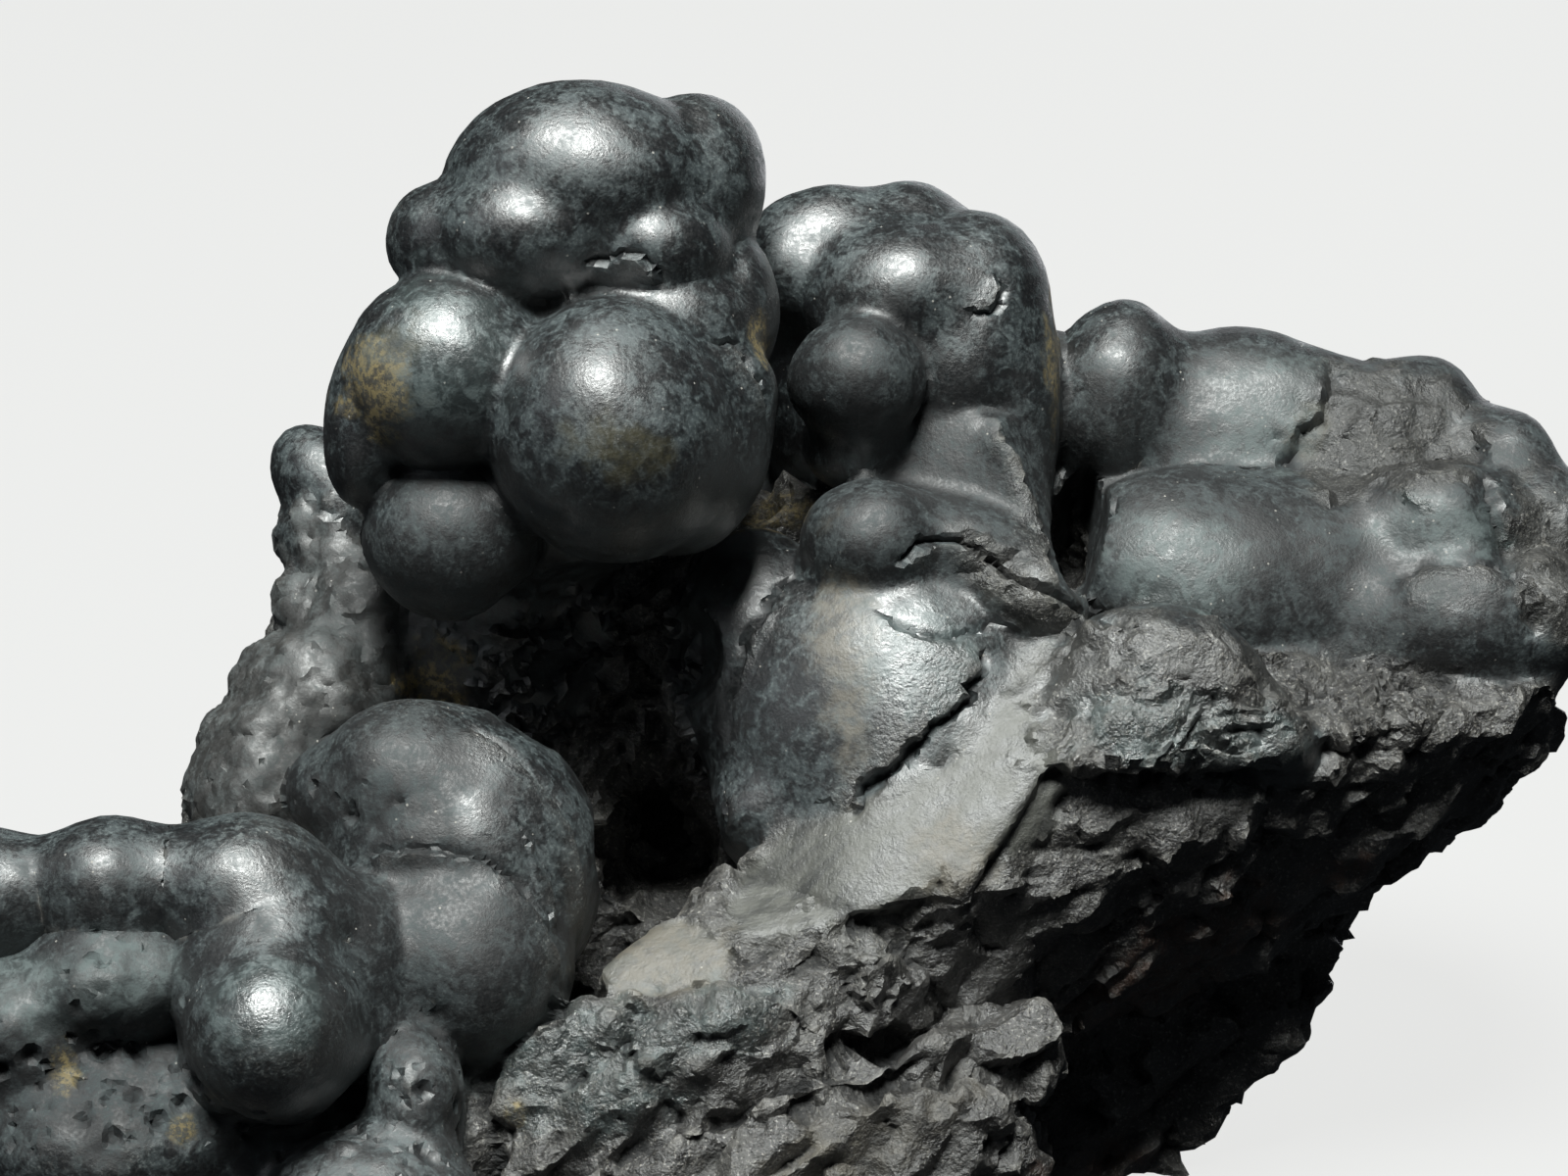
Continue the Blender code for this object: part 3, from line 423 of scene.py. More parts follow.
def seen_at(points):
    """Where the eye sees each point: right, up and depth in millimetres."""
    offset = (points - np.array(LOOKED_AT)) / MM
    depth = offset[:, 1] * math.cos(LOOK_DOWN) - offset[:, 2] * math.sin(LOOK_DOWN)
    up = offset[:, 1] * math.sin(LOOK_DOWN) + offset[:, 2] * math.cos(LOOK_DOWN)
    nearer = 1 + depth * MM / EYE_DISTANCE
    return offset[:, 0] / nearer, up / nearer, depth


def half_sizes(lump):
    nearer = 1 + lump.depth * MM / EYE_DISTANCE
    return Vector((lump.wide * nearer, lump.deep, lump.tall * nearer)) * MM


def frame_of(lump):
    """The matrix that turns a unit ball into the lump."""
    turn = Matrix.Rotation(-LOOK_DOWN, 4, "X") @ Matrix.Rotation(-math.radians(lump.turn), 4, "Y")
    turn = turn @ Matrix.Rotation(-math.radians(lump.lean), 4, "X")
    size = Matrix.Diagonal((*half_sizes(lump), 1))
    return Matrix.Translation(from_front(lump.right, lump.up, lump.depth)) @ turn @ size


def add_lump(bm, lump):
    bmesh.ops.create_icosphere(bm, subdivisions=LUMP_FACES, radius=1.0, matrix=frame_of(lump))


def add_block(bm, corners):
    points = [bm.verts.new(from_front(*corner)) for corner in corners]
    hull = bmesh.ops.convex_hull(bm, input=points)
    inside = {v for v in hull["geom_interior"] if isinstance(v, bmesh.types.BMVert)}
    bmesh.ops.delete(bm, geom=list(inside), context="VERTS")


def object_from(bm, name):
    mesh = bpy.data.meshes.new(name)
    bm.to_mesh(mesh)
    bm.free()
    made = bpy.data.objects.new(name, mesh)
    bpy.context.scene.collection.objects.link(made)
    return made


def evaluated(obj):
    """The object's mesh after its modifiers, which are then removed."""
    bpy.context.view_layer.update()
    graph = bpy.context.evaluated_depsgraph_get()
    mesh = bpy.data.meshes.new_from_object(obj.evaluated_get(graph))
    obj.modifiers.clear()
    obj.data = mesh
    return mesh


def remesh(obj, voxel):
    modifier = obj.modifiers.new("one skin", "REMESH")
    modifier.mode = "VOXEL"
    modifier.voxel_size = voxel
    evaluated(obj)


def cut_hollows(obj):
    cutters = []
    for hollow in HOLLOWS:
        bm = bmesh.new()
        add_lump(bm, hollow)
        cutter = object_from(bm, "hollow")
        modifier = obj.modifiers.new("hollow", "BOOLEAN")
        modifier.operation = "DIFFERENCE"
        modifier.solver = "MANIFOLD"
        modifier.object = cutter
        cutters.append(cutter)
    evaluated(obj)
    for cutter in cutters:
        bpy.data.objects.remove(cutter)


def vectors(mesh, name):
    values = np.empty(len(mesh.vertices) * 3, dtype=np.float32)
    mesh.vertices.foreach_get(name, values)
    return values.reshape(-1, 3).astype(np.float64)


def coordinates(mesh):
    return vectors(mesh, "co")


def directions(mesh):
    return vectors(mesh, "normal")


def move(mesh, points):
    mesh.vertices.foreach_set("co", points.astype(np.float32).ravel())
    mesh.update()


def nearby(points, low, high):
    """Which points lie in the box from low to high, or within NEAR of it."""
    return np.nonzero(((points > low - NEAR) & (points < high + NEAR)).all(axis=1))[0]


def outside_lump(points, lump):
    """How far each point lies outside the lump, in metres; negative inside it, and FAR where it isn't near."""
    frame_here = np.array(frame_of(lump))
    middle = frame_here[:3, 3]
    reach = np.sqrt((frame_here[:3, :3] ** 2).sum(axis=1))
    near = nearby(points, middle - reach, middle + reach)
    inverse = np.linalg.inv(frame_here)
    local = points[near] @ inverse[:3, :3].T + inverse[:3, 3]
    steps = np.sqrt((local ** 2).sum(axis=1))
    steepness = np.sqrt(((local / np.array(half_sizes(lump))) ** 2).sum(axis=1))
    away = np.full(len(points), FAR)
    away[near] = steps * (steps - 1) / np.maximum(steepness, 1e-9)
    return away


def outside_block(points, corners):
    """The same for a block of rock."""
    places = np.array([from_front(*corner) for corner in corners])
    near = nearby(points, places.min(axis=0), places.max(axis=0))
    bm = bmesh.new()
    add_block(bm, corners)
    bmesh.ops.recalc_face_normals(bm, faces=bm.faces[:])
    farthest = None
    for face in bm.faces:
        flat = points[near] @ np.array(face.normal) - face.normal.dot(face.verts[0].co)
        farthest = flat if farthest is None else -melted(-farthest, -flat, EDGE)
    bm.free()
    away = np.full(len(points), FAR)
    away[near] = farthest
    return away


def melted(first, second, width):
    """The nearer of two distances, with the crease between them filled over this width."""
    near = np.clip(1 - np.abs(first - second) / width, 0, 1)
    return np.minimum(first, second) - near * near * width / 4


def outside_clusters(points):
    nearest = np.full(len(points), FAR)
    for cluster in CLUSTERS:
        together = np.full(len(points), FAR)
        for lump in cluster.lumps:
            together = melted(together, outside_lump(points, lump), cluster.fill * MM)
        for corners in cluster.blocks:
            together = melted(together, outside_block(points, corners), cluster.fill * MM)
        nearest = melted(nearest, together, SEAM)
    return nearest


def outside_rock(points):
    nearest = np.full(len(points), FAR)
    for corners in BLOCKS:
        nearest = np.minimum(nearest, outside_block(points, corners))
    return nearest


def settle(mesh):
    """Fills the creases between lumps, and rounds the hollows' edges, by moving the skin along its normals."""
    points = coordinates(mesh)
    away = melted(outside_clusters(points), outside_rock(points), SEAM)
    for hollow in HOLLOWS:
        away = np.maximum(away, -outside_lump(points, hollow))
    move(mesh, points - directions(mesh) * np.clip(away, -SETTLE_REACH, SETTLE_REACH)[:, None])


def soft_step(value, low, high):
    part = np.clip((value - low) / (high - low), 0, 1)
    return part * part * (3 - 2 * part)


def waves(points, width, layers=1):
    """Smooth noise with waves of about this width, between about -1 and 1."""
    total = np.zeros(len(points))
    share = 1.0
    for _ in range(layers):
        total += share * np.array([noise.noise(Vector(p)) for p in (points / width).tolist()])
        width /= 2.1
        share /= 2
    return total


def cells(points, width):
    """Each point's distance from the middle of its cell, in cell widths."""
    return np.array([noise.voronoi(Vector(p))[0][0] for p in (points / width).tolist()])


def chips(points, width, tilt_height):
    """How far flat chips stand out that each tilt their own way, with short slopes where they meet."""
    spots = (points - np.outer(points @ GRAIN, GRAIN) / 3) / width
    half = Vector((0.5, 0.5, 0.5))
    lifts = []
    for place in spots.tolist():
        place = Vector(place)
        reaches, centres = noise.voronoi(place)
        first = (noise.cell_vector(centres[0] * 10) - half).dot(place - centres[0])
        share = 1 - (reaches[1] - reaches[0]) / CHIP_SLOPE
        if share > 0:
            second = (noise.cell_vector(centres[1] * 10) - half).dot(place - centres[1])
            first += (second - first) * share / 2
        lifts.append(first)
    return np.array(lifts) * width * tilt_height


def within(patches, view, points, ragged=0.5):
    """How much each point lies in any of the patches, from 0 to 1, with a ragged edge."""
    right, up, depth = view
    most = np.zeros(len(right))
    for patch in patches:
        turn = math.radians(patch.turn)
        along = (right - patch.right) * math.cos(turn) + (up - patch.up) * math.sin(turn)
        across = (up - patch.up) * math.cos(turn) - (right - patch.right) * math.sin(turn)
        reach = np.hypot(along / patch.wide, across / patch.tall)
        near = np.nonzero((reach < 1.6) & (depth > patch.near) & (depth < patch.far))[0]
        if len(near) == 0:
            continue
        torn = waves(points[near], 1.6 * MM, 3) * ragged
        inside = 1 - soft_step(reach[near] + torn, 0.75, 1.15)
        most[near] = np.maximum(most[near], inside)
    return most


def beside(edge, view, points):
    """The points near a broken edge, how far each lies on its crust side, in millimetres, and how much it counts."""
    right, up, depth = view
    course = np.array(edge.points)
    margin = edge.reach + 0.5
    low, high = course.min(0) - margin, course.max(0) + margin
    near = np.nonzero((right > low[0]) & (right < high[0]) & (up > low[1]) & (up < high[1])
                      & (depth > edge.near) & (depth < edge.far))[0]
    here = np.stack([right[near], up[near]], axis=1)
    here[:, 0] += edge.ragged * waves(points[near], 1.1 * MM, 2)
    here[:, 1] += edge.ragged * waves(points[near] + 0.05, 1.1 * MM, 2)
    nearest = np.full(len(near), 1e9)
    side = np.zeros(len(near))
    passed = np.zeros(len(near))
    lengths = np.linalg.norm(np.diff(course, axis=0), axis=1)
    before = 0.0
    for start, end, length in zip(course[:-1], course[1:], lengths):
        run = (end - start) / length
        offset = here - start
        along = np.clip(offset @ run, 0, length)
        gap = np.linalg.norm(offset - along[:, None] * run, axis=1)
        left = run[0] * offset[:, 1] - run[1] * offset[:, 0]
        closer = gap < nearest
        nearest = np.where(closer, gap, nearest)
        side = np.where(closer, np.sign(left), side)
        passed = np.where(closer, before + along, passed)
        before += length
    ends = soft_step(passed, 0, EDGE_END) * soft_step(before - passed, 0, EDGE_END)
    return near, nearest * side, ends


def edge_lift(edge, view, points, facing):
    """How far the crust stands out along a broken edge, in metres, with the crack at its foot."""
    near, reach, share = beside(edge, view, points)
    share *= soft_step(facing[near], 0.2, 0.5)
    raised = edge.rise * soft_step(reach, -EDGE_STEP, EDGE_STEP)
    raised *= np.clip(1 - np.maximum(reach, 0) / edge.reach, 0, 1) ** 1.5
    crack = edge.groove * np.exp(-((reach + EDGE_STEP) / CRACK_WIDTH) ** 2)
    lift = np.zeros(len(points))
    lift[near] = (raised - crack) * share * MM
    return lift


def toward_eye(points, normals):
    """How much each point faces the eye: 1 straight at it, 0 at the outline."""
    eye = np.array(LOOKED_AT) + EYE_DISTANCE * np.array([0, -math.cos(LOOK_DOWN), math.sin(LOOK_DOWN)])
    away = eye - points
    return np.einsum("ij,ij->i", normals, away) / np.linalg.norm(away, axis=1)


def surface_kinds(mesh):
    """What each point's surface is like, each from 0 to 1."""
    points = coordinates(mesh)
    view = seen_at(points)
    outside = outside_clusters(points)
    bare = soft_step(outside, 0.0, SKIN_DEPTH * 0.6)
    smooth = np.zeros(len(points))
    for stretch in SMOOTH_ROCK:
        away = outside_lump(points, stretch)
        near = np.nonzero(away < 2 * MM)[0]
        ragged = away[near] + 0.7 * MM * waves(points[near], 1.6 * MM, 3)
        smooth[near] = np.maximum(smooth[near], 1 - soft_step(ragged / SKIN_DEPTH + 1, 0, 1))
    near, reach, share = beside(HOOD_EDGE, view, points)
    smooth[near] *= 1 - soft_step(reach, -0.1, 0.1) * share
    crust = within(CRUST_BREAKS, view, points)
    fibres = within(FIBRES, view, points) * soft_step(outside, -0.4 * MM, 0.3 * MM)
    beads = within(BEADS, view, points)
    curls = within(CURLS, view, points)
    pits = within(PITS, view, points)
    return points, view, {
        "bare": bare, "smooth": smooth * np.maximum(bare, 0.6) * (1 - 0.7 * crust), "crust": crust,
        "fibres": fibres, "beads": beads, "curls": curls, "pits": pits, "outside": outside,
    }


def bent(points, reach, width):
    """The points, pushed about smoothly, so that what is laid out on them doesn't run straight."""
    push = [waves(points + shift, width) for shift in (0, 0.1, 0.2)]
    return points + reach * np.stack(push, axis=1)


def rock_lift(points, kind, large):
    """The broken rock's chips, facets and grain."""
    calm = 1 - 0.95 * kind["smooth"]
    rough = (1 - kind["beads"]) * (1 - 0.8 * kind["curls"]) * (1 - 0.8 * kind["fibres"])
    big = chips(points, CHIP_WIDTH, CHIP_TILT) + GRIT_HEIGHT * waves(points, GRIT_WIDTH)
    place = bent(points, CHIP_BEND, CHIP_BEND_WIDTH)
    medium = chips(place, SMALL_CHIP_WIDTH, SMALL_CHIP_TILT)
    small = chips(place, SPLINTER_WIDTH, SPLINTER_TILT)
    ridges = 0.5 - np.abs(waves(place, RIDGE_WIDTH, 2))
    lift = big * large * calm
    lift += (medium + small) * kind["bare"] * calm * rough
    lift += RIDGE_HEIGHT * ridges * kind["bare"] * calm * rough
    return lift


def fibre_lift(points, view):
    """Fibres side by side that lean to the right and bend a little."""
    right, up, depth = view
    lean = FIBRE_BEND * waves(points, 5 * MM)
    across = (0.87 + lean) * right - 0.5 * up
    along = 0.5 * right + (0.87 - lean) * up
    drawn_out = np.stack([across, along * 0.28, depth * 0.5], axis=1) * MM
    return FIBRE_HEIGHT * (waves(drawn_out, FIBRE_WIDTH, 2) + 0.5 * waves(points, 2.4 * MM))


def plate_lift(points, _):
    """The plates that broken crust leaves."""
    return chips(points, PLATE_WIDTH, PLATE_TILT) + 0.15 * MM * waves(points, 1.2 * MM, 3)


def bead_lift(points, _):
    """Beads with finer ones between them, on uneven swells."""
    domes = BEAD_HEIGHT * np.sqrt(np.clip(1 - (cells(points, BEAD_WIDTH) / 0.75) ** 2, 0, 1))
    domes += FINE_BEAD_HEIGHT * np.clip(1 - cells(points, FINE_BEAD_WIDTH), 0, 1)
    return domes + SWELL_HEIGHT * waves(points, SWELL_WIDTH, 4)


def curl_lift(points, _):
    """Thin ridges that curl."""
    swirl = bent(points, 1.2 * MM, 2.6 * MM)
    return CURL_HEIGHT * np.clip(1 - np.abs(waves(swirl, CURL_WIDTH, 2)) * 3.2, 0, 1)


def pit_lift(points, _):
    """Pits in an uneven skin."""
    lift = 0.20 * MM * waves(points, 1.6 * MM, 3)
    for width, depth in PIT_SIZES:
        lift -= depth * (1 - soft_step(cells(points, width), 0.12, 0.34))
    return lift


def roughen(mesh):
    """Chips, fibres, plates, beads, curls, pits and cracked shells, as lifts along the skin's normals."""
    points, view, kind = surface_kinds(mesh)
    bare = kind["bare"]
    large = np.clip(kind["outside"] / SKIN_DEPTH, 0, 1)
    facing = toward_eye(points, directions(mesh))
    lift = np.zeros(len(points))
    rock = np.nonzero(bare > 0)[0]
    lift[rock] = rock_lift(points[rock], {name: value[rock] for name, value in kind.items()}, large[rock])
    lifts = {"fibres": fibre_lift, "crust": plate_lift, "beads": bead_lift, "curls": curl_lift, "pits": pit_lift}
    for name, lift_of_kind in lifts.items():
        here = np.nonzero(kind[name] > 0.02)[0]
        lift[here] += lift_of_kind(points[here], [value[here] for value in view]) * kind[name][here]
    lift += (0.32 * MM * waves(points, 7 * MM) + 0.12 * MM * waves(points, 3 * MM)) * (1 - bare)
    lift += 0.025 * MM * waves(points, 0.8 * MM, 2) * (1 - bare)
    for edge in EDGES:
        lift += edge_lift(edge, view, points, facing)
    move(mesh, points + directions(mesh) * lift[:, None])


def triangle_count(mesh):
    return sum(len(face.vertices) - 2 for face in mesh.polygons)


def decimate(obj, ratio, group=""):
    modifier = obj.modifiers.new("fewer triangles", "DECIMATE")
    modifier.vertex_group = group
    modifier.ratio = ratio
    evaluated(obj)


def thin_out(obj):
    """Fewer triangles where the front doesn't show, and then everywhere."""
    points = coordinates(obj.data)
    facing = toward_eye(points, directions(obj.data))
    hidden = np.nonzero((facing < HIDDEN_FACING) | (points[:, 2] < HIDDEN_BELOW))[0]
    obj.vertex_groups.new(name="hidden").add(hidden.tolist(), 1.0, "REPLACE")
    triangles = triangle_count(obj.data)
    seen = triangles * (1 - len(hidden) / len(points))
    decimate(obj, (seen + HIDDEN_TRIANGLES) / triangles, "hidden")
    obj.vertex_groups.clear()
    decimate(obj, TRIANGLES / triangle_count(obj.data))


def drop_stray(bm):
    """Welds points that coincide, and removes the odd triangle that hangs from an edge, single or double."""
    bmesh.ops.remove_doubles(bm, verts=bm.verts[:], dist=SAME_POINT)
    bmesh.ops.triangulate(bm, faces=bm.faces[:])
    twins = Counter(frozenset(face.verts) for face in bm.faces)
    stray = [face for face in bm.faces
             if twins[frozenset(face.verts)] > 1 or sum(edge.is_boundary for edge in face.edges) > 1]
    bmesh.ops.delete(bm, geom=stray, context="FACES")


def cut_base(obj):
    """Cuts the stone off flat at the height of the surface that it rests on."""
    bm = bmesh.new()
    bm.from_mesh(obj.data)
    drop_stray(bm)
    everything = bm.verts[:] + bm.edges[:] + bm.faces[:]
    cut = bmesh.ops.bisect_plane(bm, geom=everything, plane_co=(0, 0, 0), plane_no=(0, 0, -1), clear_outer=True)
    rim = [e for e in cut["geom_cut"] if isinstance(e, bmesh.types.BMEdge)]
    bmesh.ops.holes_fill(bm, edges=rim)
    drop_stray(bm)
    bmesh.ops.recalc_face_normals(bm, faces=bm.faces[:])
    bm.to_mesh(obj.data)
    bm.free()


def bulge(mesh, points, normals):
    """How much each point stands out from its neighbours: above 0 on edges, below 0 in creases."""
    edges = np.empty(len(mesh.edges) * 2, dtype=np.int32)
    mesh.edges.foreach_get("vertices", edges)
    first, second = edges.reshape(-1, 2).T
    turn = np.zeros(len(points))
    count = np.zeros(len(points))
    run = points[second] - points[first]
    length = np.maximum(np.linalg.norm(run, axis=1), 1e-7)
    np.add.at(turn, first, -np.einsum("ij,ij->i", run, normals[first]) / length)
    np.add.at(turn, second, np.einsum("ij,ij->i", run, normals[second]) / length)
    np.add.at(count, first, 1)
    np.add.at(count, second, 1)
    value = turn / np.maximum(count, 1)
    for _ in range(2):
        total = np.zeros(len(points))
        np.add.at(total, first, value[second])
        np.add.at(total, second, value[first])
        value = 0.5 * value + 0.5 * total / np.maximum(count, 1)
    return value


def store(mesh, name, values):
    attribute = mesh.attributes.new(name, "FLOAT", "POINT")
    attribute.data.foreach_set("value", values.astype(np.float32))


def mark_surface(mesh):
    """Keeps what the material needs to know of each point: its kind of surface, its stains, and where shade and
    highlights are painted into its colour.
    """
    points, view, kind = surface_kinds(mesh)
    normals = directions(mesh)
    rough = kind["bare"] + kind["fibres"] + 0.6 * kind["crust"] - 0.25 * kind["beads"]
    store(mesh, "broken", np.clip(rough, 0, 1))
    store(mesh, "smooth_break", kind["smooth"])
    store(mesh, "bulge", bulge(mesh, points, normals))
    for name in ("crust", "pits", "beads"):
        store(mesh, name, kind[name])
    # Besides the stains: duller stretches, darkened partly as painted shade; painted highlights; and painted shade.
    surface_patches = {"dull_and_shade": (DULL_AND_SHADED, 0.6), "ochre": (OCHRE, 0.9), "olive": (OLIVE, 0.7), "tan": (TAN, 0.6),
              "rust": (RUST, 0.8), "painted_highlight_and_film": (PAINTED_HIGHLIGHT_AND_FILM, 0.5), "painted_shade": (PAINTED_SHADE, 0.7)}
    for name, (patches, ragged) in surface_patches.items():
        store(mesh, name, within(patches, view, points, ragged))


class Graph:
    """A short way to write a material's nodes."""

    def __init__(self, name):
        self.material = bpy.data.materials.new(name)
        self.material.use_nodes = True
        self.tree = self.material.node_tree
        self.shader = self.tree.nodes["Principled BSDF"]
        self.place = self.tree.nodes.new("ShaderNodeTexCoord").outputs["Object"]

    def put(self, socket, value):
        if isinstance(value, bpy.types.NodeSocket):
            self.tree.links.new(value, socket)
        else:
            socket.default_value = value

    def set(self, name, value):
        self.put(self.shader.inputs[name], value)

    def node(self, kind, values, **settings):
        """A new node with these settings, and with these values or links at its inputs."""
        made = self.tree.nodes.new("ShaderNode" + kind)
        for name, value in settings.items():
            setattr(made, name, value)
        for name, value in values.items():
            self.put(made.inputs[name], value)
        return made

    def mask(self, name):
        return self.node("Attribute", {}, attribute_name=name).outputs["Fac"]

    def noise(self, width, detail, roughness, distortion=0.0, place=None):
        values = {"Vector": place or self.place, "Scale": 1 / width, "Detail": detail, "Roughness": roughness,
                  "Distortion": distortion}
        return self.node("TexNoise", values).outputs["Fac"]

    def cells(self, width):
        return self.node("TexVoronoi", {"Vector": self.place, "Scale": 1 / width}).outputs["Distance"]

    def streaked(self, turn, stretch):
        """The place, drawn out along a line that leans to the right by this angle."""
        values = {"Vector": self.place, "Rotation": (0, turn, 0), "Scale": (1, 1, stretch)}
        return self.node("Mapping", values, vector_type="TEXTURE").outputs["Vector"]

    def between(self, value, low, high, start=0.0, end=1.0):
        """The value, brought from the range low to high to the range start to end."""
        values = {"Value": value, "From Min": low, "From Max": high, "To Min": start, "To Max": end}
        return self.node("MapRange", values, interpolation_type="SMOOTHSTEP").outputs["Result"]

    def math(self, operation, first, second):
        return self.node("Math", {0: first, 1: second}, operation=operation).outputs["Value"]

    def mix(self, share, first, second):
        """The first at share 0 and the second at share 1, both of them colours or both of them numbers."""
        numbers = isinstance(first, float) or getattr(first, "type", "RGBA") == "VALUE"
        kind = "VALUE" if numbers else "RGBA"
        node = self.node("Mix", {"Factor": share}, data_type="FLOAT" if numbers else "RGBA")
        for name, value in (("A", first), ("B", second)):
            self.put(next(s for s in node.inputs if s.name == name and s.type == kind), value)
        return next(s for s in node.outputs if s.type == kind)

    def bump(self, height, strength, distance):
        """Adds to the bumps that the surface has so far."""
        normal = self.shader.inputs["Normal"]
        bumps = self.node("Bump", {"Height": height, "Strength": strength, "Distance": distance})
        if normal.is_linked:
            self.put(bumps.inputs["Normal"], normal.links[0].from_socket)
        self.put(normal, bumps.outputs["Normal"])


# The colours of the crust and its film, of the rock where it broke rough or smooth, and of stains and dust.
BLACK_CRUST = (0.0058, 0.0066, 0.0074, 1)
BLUE_CRUST = (0.041, 0.055, 0.058, 1)
PALE_FILM = (0.096, 0.122, 0.120, 1)
DARK_BREAK = (0.013, 0.0115, 0.010, 1)
PALE_BREAK = (0.066, 0.063, 0.056, 1)
SMOOTH_BREAK = (0.080, 0.081, 0.067, 1)
SMOOTH_DARK = (0.028, 0.029, 0.025, 1)
BROWN_CRUST = (0.034, 0.033, 0.029, 1)
BEAD_COLOUR = (0.040, 0.038, 0.032, 1)
TAN_COLOUR = (0.130, 0.113, 0.082, 1)
OCHRE_COLOUR = (0.270, 0.205, 0.075, 1)
OLIVE_COLOUR = (0.060, 0.055, 0.030, 1)
RUST_COLOUR = (0.080, 0.034, 0.016, 1)
DUST_COLOUR = (0.420, 0.400, 0.360, 1)

# The slab's streaks: how far they lean to the right, and how much longer than wide they are.
STREAK_LEAN = math.radians(34)
STREAK_LENGTH = 7

# The floor glows as much as it takes to be as pale as the backdrop, and neither lights the stone; FILL does.
FLOOR_COLOUR = (0.050, 0.0503, 0.0497)
FLOOR_GLOW = 15.5
BACKDROP_COLOUR = (0.825, 0.835, 0.82)
FILL_COLOUR = (0.80, 0.90, 1.0)
FILL_STRENGTH = 0.022

# Each light's direction as the picture has it, distance, size, power and colour.
LIGHTS = {
    "key": ((-0.07, 0.79, 0.62), 0.60, 0.26, 7.1, (0.965, 1.0, 0.975)),
    "side": ((-0.80, 0.35, 0.45), 0.80, 0.40, 0.4, (0.90, 0.95, 1.0)),
    "behind": ((0.30, 0.30, -0.90), 0.90, 0.60, 2.0, (0.94, 0.97, 1.0)),
}


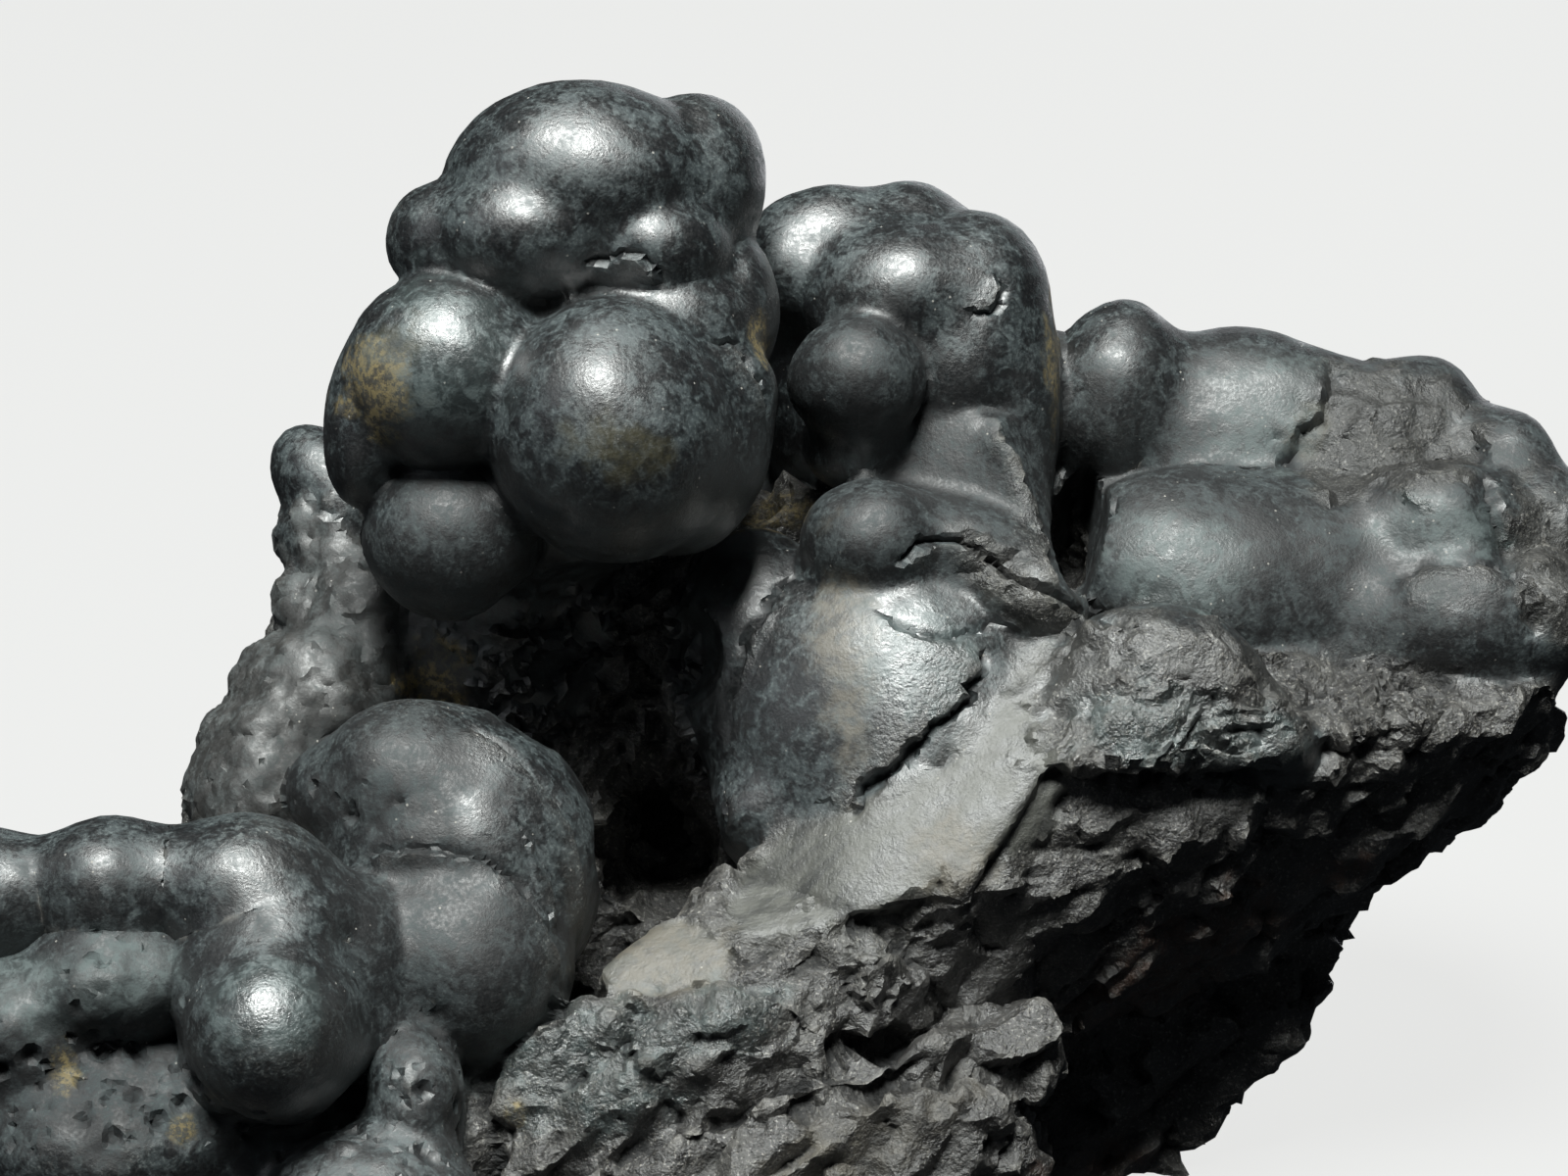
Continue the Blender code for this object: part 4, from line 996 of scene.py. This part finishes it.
def goethite_material():
    g = Graph("goethite")
    broken, smooth, crusted, beads, pits, dull_and_shade, painted_highlight_and_film, bulge = (
        g.mask(name) for name in ("broken", "smooth_break", "crust", "beads", "pits", "dull_and_shade", "painted_highlight_and_film", "bulge"))

    patchy = g.noise(3.4 * MM, 5, 0.6, 0.4)
    blotches = g.noise(0.80 * MM, 7, 0.70, 0.6)
    flecks = g.noise(0.20 * MM, 4, 0.6)
    film = g.between(g.math("ADD", blotches, g.math("MULTIPLY", patchy, 0.6)), 0.70, 0.98)
    crust = g.mix(film, BLACK_CRUST, BLUE_CRUST)
    crust = g.mix(g.math("MULTIPLY", film, g.between(flecks, 0.48, 0.72)), crust, PALE_FILM)
    crust = g.mix(g.between(flecks, 0.36, 0.26), crust, BLACK_CRUST)
    crust = g.mix(g.math("MULTIPLY", crusted, 0.75), crust, BROWN_CRUST)

    stones = g.noise(1.6 * MM, 8, 0.7, 0.5)
    rock = g.mix(g.between(stones, 0.40, 0.63), DARK_BREAK, PALE_BREAK)
    rock = g.mix(g.between(flecks, 0.54, 0.68, 0, 0.6), rock, DUST_COLOUR)
    rock = g.mix(g.between(patchy, 0.50, 0.36, 0, 0.6), rock, DARK_BREAK)
    streaks = g.noise(0.9 * MM, 5, 0.6, 0.0, g.streaked(STREAK_LEAN, STREAK_LENGTH))
    slab = g.mix(g.between(streaks, 0.34, 0.60), SMOOTH_DARK, SMOOTH_BREAK)
    slab = g.mix(g.between(stones, 0.46, 0.70, 0, 0.6), slab, PALE_BREAK)
    rock = g.mix(smooth, rock, slab)

    colour = g.mix(broken, crust, rock)
    colour = g.mix(g.math("MULTIPLY", beads, 0.40), colour, BEAD_COLOUR)
    stained = g.between(g.noise(0.7 * MM, 4, 0.6), 0.35, 0.62)
    speckled = g.between(g.noise(0.45 * MM, 6, 0.75), 0.42, 0.60)
    surface_patches = {"tan": (stained, 0.25, 0.75, TAN_COLOUR), "olive": (stained, 0.3, 0.8, OLIVE_COLOUR),
              "rust": (stained, 0.2, 0.8, RUST_COLOUR), "ochre": (speckled, 0.12, 0.95, OCHRE_COLOUR)}
    for name, (texture, least, most, stain) in surface_patches.items():
        colour = g.mix(g.math("MULTIPLY", g.mask(name), g.between(texture, 0, 1, least, most)), colour, stain)

    # duller stretches darkened, partly as painted shade; painted highlights; painted shade on the foot and under the
    # slab; worn edges; painted shade in creases; and specks of dust
    colour = g.mix(g.math("MULTIPLY", dull_and_shade, 0.35), colour, BLACK_CRUST)
    colour = g.mix(g.math("MULTIPLY", painted_highlight_and_film, g.between(film, 0, 1, 0.30, 0.80)), colour, PALE_FILM)
    colour = g.mix(g.math("MULTIPLY", g.mask("painted_shade"), 0.55), colour, DARK_BREAK)
    colour = g.mix(g.between(bulge, 0.10, 0.34, 0, 0.32), colour, DUST_COLOUR)
    # painted shade: creases darkened toward black; they are also made rougher and less glossy
    crease_matte_and_shade = g.between(bulge, -0.05, -0.22, 0, 0.75)
    colour = g.mix(crease_matte_and_shade, colour, BLACK_CRUST)
    specks = g.between(g.cells(0.75 * MM), 0.10, 0.06)
    dust = g.math("MULTIPLY", specks, g.between(g.noise(2.2 * MM, 3, 0.5), 0.50, 0.62))
    colour = g.mix(g.math("MULTIPLY", dust, 0.8), colour, DUST_COLOUR)
    g.set("Base Color", colour)

    crust_shine = g.between(film, 0, 1, 0.40, 0.56)
    for operation, change in (
            ("ADD", g.between(flecks, 0.3, 0.7, -0.06, 0.10)),
            ("ADD", g.math("MULTIPLY", dull_and_shade, 0.16)),
            ("SUBTRACT", g.math("MULTIPLY", painted_highlight_and_film, 0.08)),
            ("ADD", g.math("MULTIPLY", g.math("MAXIMUM", beads, pits), 0.16))):
        crust_shine = g.math(operation, crust_shine, change)
    rock_shine = g.between(stones, 0.3, 0.7, 0.38, 0.62)
    rock_shine = g.math("SUBTRACT", rock_shine, g.between(flecks, 0.52, 0.66, 0, 0.14))
    rock_shine = g.math("SUBTRACT", rock_shine, g.math("MULTIPLY", painted_highlight_and_film, 0.16))
    rock_shine = g.mix(smooth, rock_shine, g.between(streaks, 0.3, 0.7, 0.50, 0.64))
    shine = g.mix(broken, crust_shine, rock_shine)
    stained_share = g.math("MAXIMUM", g.mask("ochre"), g.math("MULTIPLY", g.mask("tan"), 0.4))
    for share, roughness in ((stained_share, 0.75), (dust, 0.8), (crease_matte_and_shade, 0.9)):
        shine = g.mix(share, shine, roughness)
    g.set("Roughness", shine)
    g.set("Specular IOR Level", g.mix(g.math("MAXIMUM", crease_matte_and_shade, g.math("MULTIPLY", dull_and_shade, 0.5)), 0.5, 0.12))
    g.set("IOR", 2.1)

    grainy = g.math("MULTIPLY", broken, g.math("SUBTRACT", 1.0, g.math("MULTIPLY", smooth, 0.75)))
    g.bump(g.noise(0.6 * MM, 5, 0.6), g.mix(grainy, 0.10, 1.0), 0.30 * MM)
    g.bump(g.noise(0.16 * MM, 4, 0.6), g.mix(grainy, 0.28, 1.0), 0.09 * MM)
    return g.material


def pale_material(name, colour, glow):
    g = Graph(name)
    g.set("Base Color", (*colour, 1))
    g.set("Roughness", 0.9)
    g.set("Specular IOR Level", 0.1)
    g.set("Emission Color", (*colour, 1))
    g.set("Emission Strength", glow)
    return g.material


def add_floor():
    bm = bmesh.new()
    bmesh.ops.create_circle(bm, cap_ends=True, segments=64, radius=3.0)
    floor = object_from(bm, "floor")
    floor.data.materials.append(pale_material("pale floor", FLOOR_COLOUR, FLOOR_GLOW))
    floor.visible_glossy = False
    floor.visible_diffuse = False


def add_backdrop():
    world = bpy.data.worlds.new("pale backdrop")
    bpy.context.scene.world = world
    world.use_nodes = True
    nodes = world.node_tree.nodes
    links = world.node_tree.links
    seen = nodes["Background"]
    seen.inputs["Color"].default_value = (*BACKDROP_COLOUR, 1)
    seen.inputs["Strength"].default_value = 1.0
    fill = nodes.new("ShaderNodeBackground")
    fill.inputs["Color"].default_value = (*FILL_COLOUR, 1)
    fill.inputs["Strength"].default_value = FILL_STRENGTH
    path = nodes.new("ShaderNodeLightPath")
    either = nodes.new("ShaderNodeMixShader")
    links.new(path.outputs["Is Camera Ray"], either.inputs["Fac"])
    links.new(fill.outputs["Background"], either.inputs[1])
    links.new(seen.outputs["Background"], either.inputs[2])
    links.new(either.outputs["Shader"], nodes["World Output"].inputs["Surface"])


def picture_direction(right, up, toward):
    """A direction given as the picture has it."""
    upwards = Vector((0, math.sin(LOOK_DOWN), math.cos(LOOK_DOWN)))
    towards = Vector((0, -math.cos(LOOK_DOWN), math.sin(LOOK_DOWN)))
    return (Vector((1, 0, 0)) * right + upwards * up + towards * toward).normalized()


def add_light(name, direction, distance, size, power, colour):
    light = bpy.data.lights.new(name, "AREA")
    light.shape = "DISK"
    light.size = size
    light.energy = power
    light.color = colour
    lamp = bpy.data.objects.new(name, light)
    bpy.context.scene.collection.objects.link(lamp)
    toward = picture_direction(*direction)
    lamp.location = LOOKED_AT + toward * distance
    lamp.rotation_mode = "QUATERNION"
    lamp.rotation_quaternion = (-toward).to_track_quat("-Z", "Y")


def add_camera():
    lens = bpy.data.cameras.new("eye")
    lens.sensor_width = 36
    lens.lens = 36 * EYE_DISTANCE / PICTURE_WIDTH
    lens.clip_start = 0.01
    lens.clip_end = 20
    camera = bpy.data.objects.new("eye", lens)
    bpy.context.scene.collection.objects.link(camera)
    camera.location = LOOKED_AT + picture_direction(0, 0, 1) * EYE_DISTANCE
    camera.rotation_euler = (math.pi / 2 - LOOK_DOWN, 0, 0)
    bpy.context.scene.camera = camera


def add_stone():
    bm = bmesh.new()
    for corners in BLOCKS:
        add_block(bm, corners)
    for cluster in CLUSTERS:
        for corners in cluster.blocks:
            add_block(bm, corners)
    for cluster in CLUSTERS:
        for lump in cluster.lumps:
            add_lump(bm, lump)
    stone = object_from(bm, "botryoidal_stone")
    remesh(stone, FIRST_VOXEL)
    cut_hollows(stone)
    remesh(stone, FINE_VOXEL)
    settle(stone.data)
    settle(stone.data)
    roughen(stone.data)
    thin_out(stone)
    cut_base(stone)
    mark_surface(stone.data)
    stone.data.materials.clear()
    stone.data.materials.append(goethite_material())
    stone.data.shade_smooth()
    stone.data.set_sharp_from_angle(angle=SHARP_ANGLE)
    return stone


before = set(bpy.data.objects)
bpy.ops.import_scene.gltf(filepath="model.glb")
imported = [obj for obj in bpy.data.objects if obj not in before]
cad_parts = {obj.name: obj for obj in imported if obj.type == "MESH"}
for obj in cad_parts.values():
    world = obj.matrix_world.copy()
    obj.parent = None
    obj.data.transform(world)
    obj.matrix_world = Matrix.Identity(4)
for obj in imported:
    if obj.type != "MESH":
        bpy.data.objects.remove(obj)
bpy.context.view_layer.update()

add_camera()
add_backdrop()
add_floor()
for name, light in LIGHTS.items():
    add_light(name, *light)
bpy.context.scene.view_settings.view_transform = "Standard"

stone = add_stone()
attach(stone, "root")
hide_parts("goethite")
